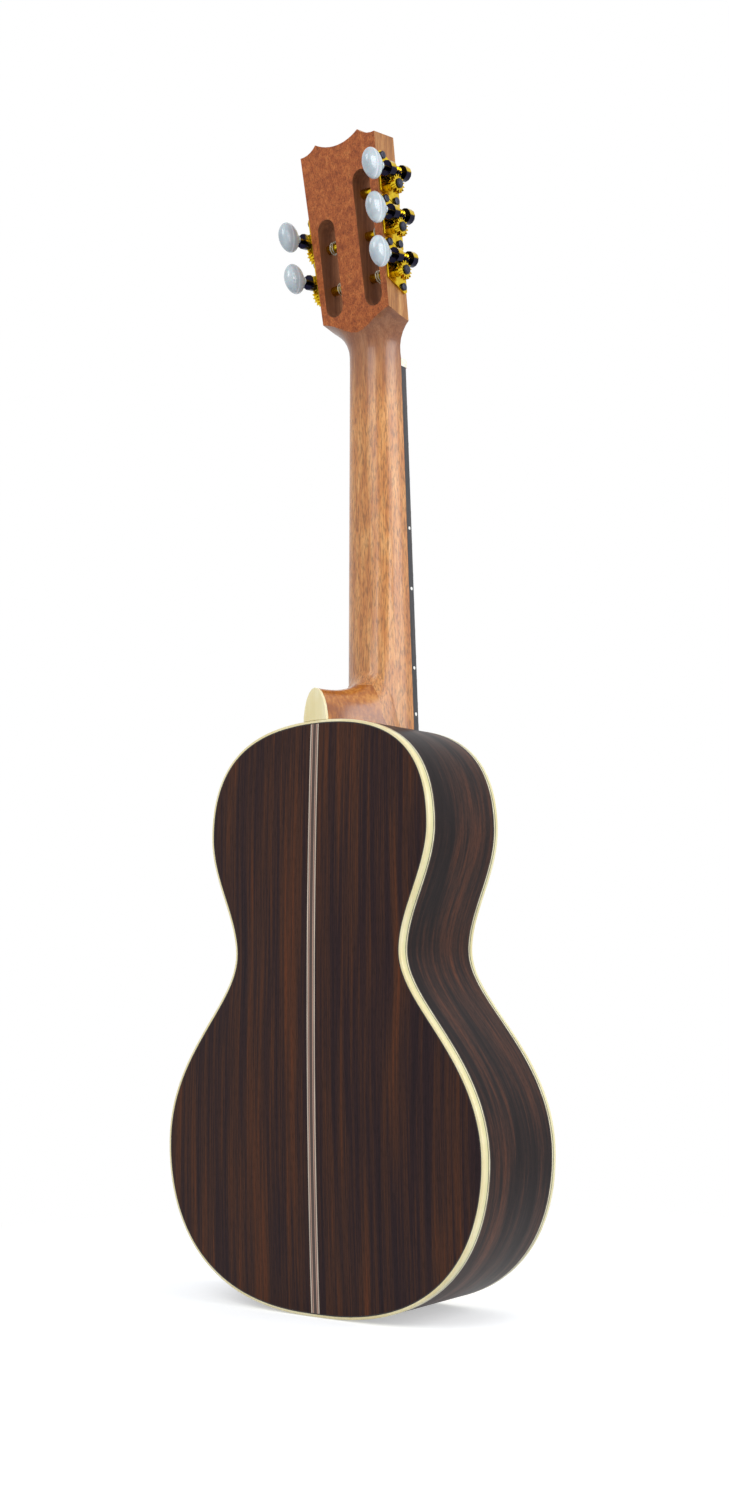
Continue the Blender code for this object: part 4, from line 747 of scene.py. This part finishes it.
def board_grid():
    """The board: one section with slightly rounded long edges, tapered from its end to the nut."""
    z = np.array([fret_z(FRET_COUNT) - BOARD_OVERHANG, BODY_LENGTH, NUT_Z - GLUE_GAP])[:, None]
    shares = np.array([0, 0, 0.3, 1])
    out = -BOARD_EASING * np.concatenate([shares, shares[::-1]])
    deep = BOARD_THICKNESS - BOARD_EASING * np.array([1, 0.3, 0])
    deep = np.concatenate([[0], deep, deep[::-1], [0]])
    side = np.array([1, 1, 1, 1, -1, -1, -1, -1])
    x = side * (neck_half_width(z) + out)
    y = np.broadcast_to(FRONT_Y - GLUE_GAP - deep, x.shape)
    return np.stack([x, y, np.broadcast_to(z, x.shape)], axis=-1)


def fret_wire(number):
    """One fret's crown: half an ellipse across the wire, carried over the board, its ends filed
    to a slope that is as long as the crown is high."""
    turn = np.linspace(0, math.pi, 9)
    rise = FRET_HEIGHT * np.sin(turn)
    z = fret_z(number)
    x = np.array([-1, -1, 0, 1, 1])[:, None] * (neck_half_width(z) - FRET_INSET)
    x = x + np.array([0, 1, 0, -1, 0])[:, None] * np.maximum(rise, 0.2 * MM)
    y = BOARD_FACE_Y + FRET_FOOT - np.array([0, 1, 1, 1, 0])[:, None] * rise
    along = np.broadcast_to(z + FRET_WIDTH / 2 * np.cos(turn), x.shape)
    return np.stack([x, y, along], axis=-1)


mesh = closed_outwards(grid_mesh("ebony_fingerboard", board_grid(), close_v=True))
finish_piece("ebony_fingerboard", mesh, ebony_oiled, ["fingerboard"])
mesh = joined("fret_wires", [fret_wire(number) for number in range(1, FRET_COUNT + 1)])
finish_piece("fret_wires", mesh, nickel)

# Side dots: four white plastic rods 2 mm thick, set in the board's bass edge between the frets
# and cut flush, before frets 5, 7, 10 and 12.
DOT_FRETS = (5, 7, 10, 12)
DOT_RADIUS = 1.0 * MM
DOT_DEPTH = 2.4 * MM
white_plastic, tree, place, surface = new_material("acrylic_rod_polished")
colour = toned(tree, grain(tree, place, (0.8, 0.8, 0.8), 1.0, 2.0), [(0.3, "DADAD2"), (0.7, "F4F3EE")])
principled(tree, surface, {"Base Color": colour, "Roughness": 0.3})


def side_dot(number):
    """A low disc: circles that shrink to a point, standing off the board's slanted edge."""
    z = (fret_z(number) + fret_z(number - 1)) / 2
    turn = np.linspace(0, 2 * math.pi, 17)[:-1]
    radius = DOT_RADIUS * np.array([1, 1, 0.9, 0.45, 0.001])[:, None]
    out = np.array([-0.4, 0.02, 0.05, 0.06, 0.06])[:, None] * MM
    along = z + radius * np.sin(turn)
    y = BOARD_FACE_Y + DOT_DEPTH + radius * np.cos(turn)
    return np.stack([-neck_half_width(along) - out, y, along], axis=-1)


mesh = joined("side_dots", [side_dot(number) for number in DOT_FRETS])
finish_piece("side_dots", mesh, white_plastic)

# Bridge: ebony like the board, sawn and filed, with a slot for the saddle and a tie block whose
# holes take the strings' ends. Its edges are broken with a file.
bevelled(finish_piece("ebony_bridge", merged("bridge"), ebony_oiled, ["bridge"]), 0.3 * MM)

# Nut and saddle: bleached bone, sawn and polished, with the string notches filed into the nut.
# It is cream white, with faint clouds, fine pits and a little light in its depth.
bone, tree, place, surface = new_material("bone_polished")
cloud = grain(tree, place, (6, 2, 2), 2.0, 3.0)
pits = grain(tree, place, (0.8, 0.3, 0.3), 8.0, 1.0)
colour = toned(tree, cloud, [(0.35, "E2DCC6"), (0.65, "F2EEDF")])
rough = remapped(tree, pits, 0.35, 0.6, 0.42, 0.28)
inputs = {"Base Color": colour, "Roughness": rough, "Subsurface Weight": 0.15, "Subsurface Scale": 1 * MM}
principled(tree, surface, inputs)
for node in ("nut", "saddle"):
    bevelled(finish_piece(f"bone_{node}", merged(node), bone, [node]), 0.12 * MM)

# Strings: five clear-white fluorocarbon lines, tied at the bridge and wound on the rollers.
# They are half clear, with a faint warm cloud along their length.
nylon, tree, place, surface = new_material("fluorocarbon_string")
colour = toned(tree, grain(tree, place, (3, 3, 30), 2.0, 2.0), [(0.35, "C9C2AE"), (0.65, "DDD8C8")])
inputs = {"Base Color": colour, "Roughness": 0.25, "IOR": 1.42, "Transmission Weight": 0.5}
principled(tree, surface, inputs)
for number in range(1, 6):
    name = f"string_{number}"
    finish_piece(f"line_{number}", merged(name), nylon, [name], sharp=80)

# Tuners: single worm-gear machines, stamped and turned brass with a bright gold plating.
# Each plate carries two barrels, and the key's worm drives the wheel on the string roller.
gold, tree, place, surface = new_material("gold_plated_brass_polished")
cloud = grain(tree, place, (3, 3, 3), 2.0, 3.0)
smear = grain(tree, place, (0.7, 5, 0.7), 6.0, 2.0)
colour = toned(tree, cloud, [(0.35, "C6A00E"), (0.65, "E2C42C")])
rough = remapped(tree, smear, 0.3, 0.7, 0.13, 0.24)
# painted reflection: the barrels and shafts turn nearly black where they face down, a dark reflection
# painted into the gold's colour
facing = add(tree, "ShaderNodeNewGeometry").node.outputs["Normal"]
facing = add(tree, "ShaderNodeSeparateXYZ", {0: facing}).node.outputs["Z"]
painted_dark_reflection = times(tree, remapped(tree, facing, -0.12, 0.06, 1.0, 0.0), marked(tree, "barrel"))
colour = mixed(tree, painted_dark_reflection, colour, linear("1B1A2E"))
principled(tree, surface, {"Base Color": colour, "Metallic": 1.0, "Roughness": rough})

blued, tree, place, surface = new_material("steel_blued")
cloud = grain(tree, place, (1, 1, 1), 3.0, 3.0)
colour = toned(tree, cloud, [(0.35, "1E2030"), (0.65, "34384A")])
rough = remapped(tree, cloud, 0.3, 0.7, 0.25, 0.4)
principled(tree, surface, {"Base Color": colour, "Metallic": 0.6, "Roughness": rough})

# The key's oval button is cast celluloid with a pearl lustre: cloudy blue-white, with a painted
# highlight, a soft white band along its ridge.
BUTTON_CENTRE = 23 * MM
BUTTON_HALF_LENGTH = 7.6 * MM
BUTTON_HALF_HEIGHT = 9 * MM
BUTTON_HALF_THICKNESS = 4.5 * MM
COLLAR_RADIUS = 2.6 * MM
pearl, tree, place, surface = new_material("celluloid_pearl")
swirl = grain(tree, place, (8, 8, 16), 3.0, 1.0, 0.6)
colour = toned(tree, swirl, [(0.3, "98A5AE"), (0.5, "A6B2B9"), (0.7, "B8C3C8")])
# painted highlight: a soft white band along the button's ridge
colour = mixed(tree, marked(tree, "ridge_highlight"), colour, linear("EEF2F4"))
inputs = {"Base Color": colour, "Roughness": 0.22, "Coat Weight": 0.6, "Coat Roughness": 0.06}
inputs |= {"Sheen Weight": 0.2, "Subsurface Weight": 0.2, "Subsurface Scale": 2 * MM}
principled(tree, surface, inputs)


def button_grid():
    """The oval button in the key's frame: rings along the shaft, each an ellipse whose height is
    b = sqrt(1 - s^2) and whose thickness is b^0.8, and the share of its painted ridge highlight at each
    ring."""
    share = -np.cos(np.linspace(0.3, math.pi - 0.04, 34))
    bulge = np.sqrt(1 - share**2)
    high = BUTTON_HALF_HEIGHT * bulge
    least = np.where(share < -0.85, COLLAR_RADIUS * 0.95, 0)
    thick = np.maximum(BUTTON_HALF_THICKNESS * bulge**0.8, least)
    y = BUTTON_CENTRE + BUTTON_HALF_LENGTH * share
    neck = BUTTON_CENTRE - BUTTON_HALF_LENGTH - 0.8 * MM
    y = np.concatenate([[neck, neck + 0.3 * MM, y[0] - 0.1 * MM], y])
    collar = [COLLAR_RADIUS * 0.9, COLLAR_RADIUS, COLLAR_RADIUS]
    high, thick = np.concatenate([collar, high]), np.concatenate([collar, thick])
    turn = np.linspace(0, 2 * math.pi, 49)[:-1]
    ridge_highlight = np.exp(-(((y - BUTTON_CENTRE) / BUTTON_HALF_LENGTH - 0.1) / 0.07) ** 2)
    points = [thick[:, None] * np.sin(turn), y[:, None] + 0 * turn, high[:, None] * np.cos(turn)]
    return np.stack(points, axis=-1), 0.5 * np.broadcast_to(ridge_highlight[:, None], points[0].shape)


# Each tuner is dressed in its joints' own frames. The plate and its two domed screws stay on the
# neck, the worm and the button ride on the key, and the wheel, the post and their screw on the roller.
BARREL_START = 2.5 * MM
PLATE_SCREWS = ((5.5 * MM, 16.8 * MM), (-4.8 * MM, -8 * MM))
PLATE_SCREW_RADIUS, PLATE_SCREW_HEIGHT = 2.25 * MM, 1.5 * MM
PLATE_FACE = 1.3 * MM
joints = {joint["name"]: joint for joint in frame["joints"]}


def dome_grid(radius, height):
    """A screw head: a short wall, then rings that follow a quarter ellipse to the crown."""
    rise = np.linspace(0, math.pi / 2, 7)[:, None]
    turn = np.linspace(0, 2 * math.pi, 25)[:-1]
    out = height * (0.78 + 0.22 * np.sin(rise)) + 0 * turn
    ring = np.maximum(radius * np.cos(rise) ** 0.8, 0.01 * MM)
    dome = np.stack([out, ring * np.cos(turn), ring * np.sin(turn)], axis=-1)
    foot = dome[:1] * (0, 1, 1)
    return np.concatenate([foot, dome])


def placed(points, matrix):
    """Grid points carried by a 4x4 matrix."""
    return points @ np.array(matrix.to_3x3()).T + np.array(matrix.translation)


def tuner_frames(name):
    """The frames of a tuner's key and of its plate: x lies along the roller and y along the key."""
    key_joint, roller_joint = joints[f"key_turn_{name}"], joints[f"roller_turn_{name}"]
    x_axis, y_axis = Vector(roller_joint["axis"]), Vector(key_joint["axis"])
    turn = Matrix((x_axis, y_axis, x_axis.cross(y_axis))).transposed().to_4x4()
    return [Matrix.Translation(joint["pos_m"]) @ turn for joint in (key_joint, roller_joint)]


def mark_barrels(mesh, plate_frame, side):
    """Marks with the attribute "barrel" what stands well out from the head's side, where the gold's
    painted dark reflection goes.
    """
    points = np.zeros(len(mesh.vertices) * 3)
    mesh.vertices.foreach_get("co", points)
    out = side * placed(points.reshape(-1, 3), plate_frame.inverted())[:, 0]
    marks = mesh.attributes.new("barrel", "FLOAT", "POINT")
    marks.data.foreach_set("value", (out > BARREL_START).astype(float))


def screw_heads(plate_frame, side):
    """The plate's two screw heads, as grids of points."""
    heads = []
    for depth, height in PLATE_SCREWS:
        spot = Matrix.Translation((side * PLATE_FACE, depth, height)) @ Matrix.Scale(side, 4, (1, 0, 0))
        heads.append(placed(dome_grid(PLATE_SCREW_RADIUS, PLATE_SCREW_HEIGHT), plate_frame @ spot))
    return heads


for name in ("bass_1", "bass_2", "bass_3", "treble_1", "treble_2"):
    side = -1 if name.startswith("bass") else 1
    key_frame, plate_frame = tuner_frames(name)
    key, roller = f"key_{name}", f"roller_{name}"
    mesh = merged(f"plate_{name}")
    # the plate's barrels carry the gold's painted dark reflection
    mark_barrels(mesh, plate_frame, side)
    plate = finish_piece(f"stamped_plate_{name}", mesh, gold, [f"plate_{name}"])
    bevelled(plate, 0.15 * MM)
    for part, body in (("worm", key), ("gear", roller), ("post", roller)):
        node = f"{part}_{name}"
        mesh = merged(node)
        if part == "worm":
            # the worm's barrel carries the gold's painted dark reflection too
            mark_barrels(mesh, plate_frame, side)
        bevelled(finish_piece(f"turned_{node}", mesh, gold, [node], body), 0.08 * MM)
    node = f"gear_screw_{name}"
    bevelled(finish_piece(f"blued_{node}", merged(node), blued, [node], roller), 0.12 * MM)
    points, ridge_highlight = button_grid()
    button = f"pearl_button_{name}"
    mesh = grid_mesh(button, placed(points, key_frame), close_v=True, attribute=("ridge_highlight", ridge_highlight))
    finish_piece(button, closed_outwards(mesh), pearl, [f"button_{name}"], key, sharp=70)
    screws = f"plate_screws_{name}"
    finish_piece(screws, joined(screws, screw_heads(plate_frame, side)), blued)
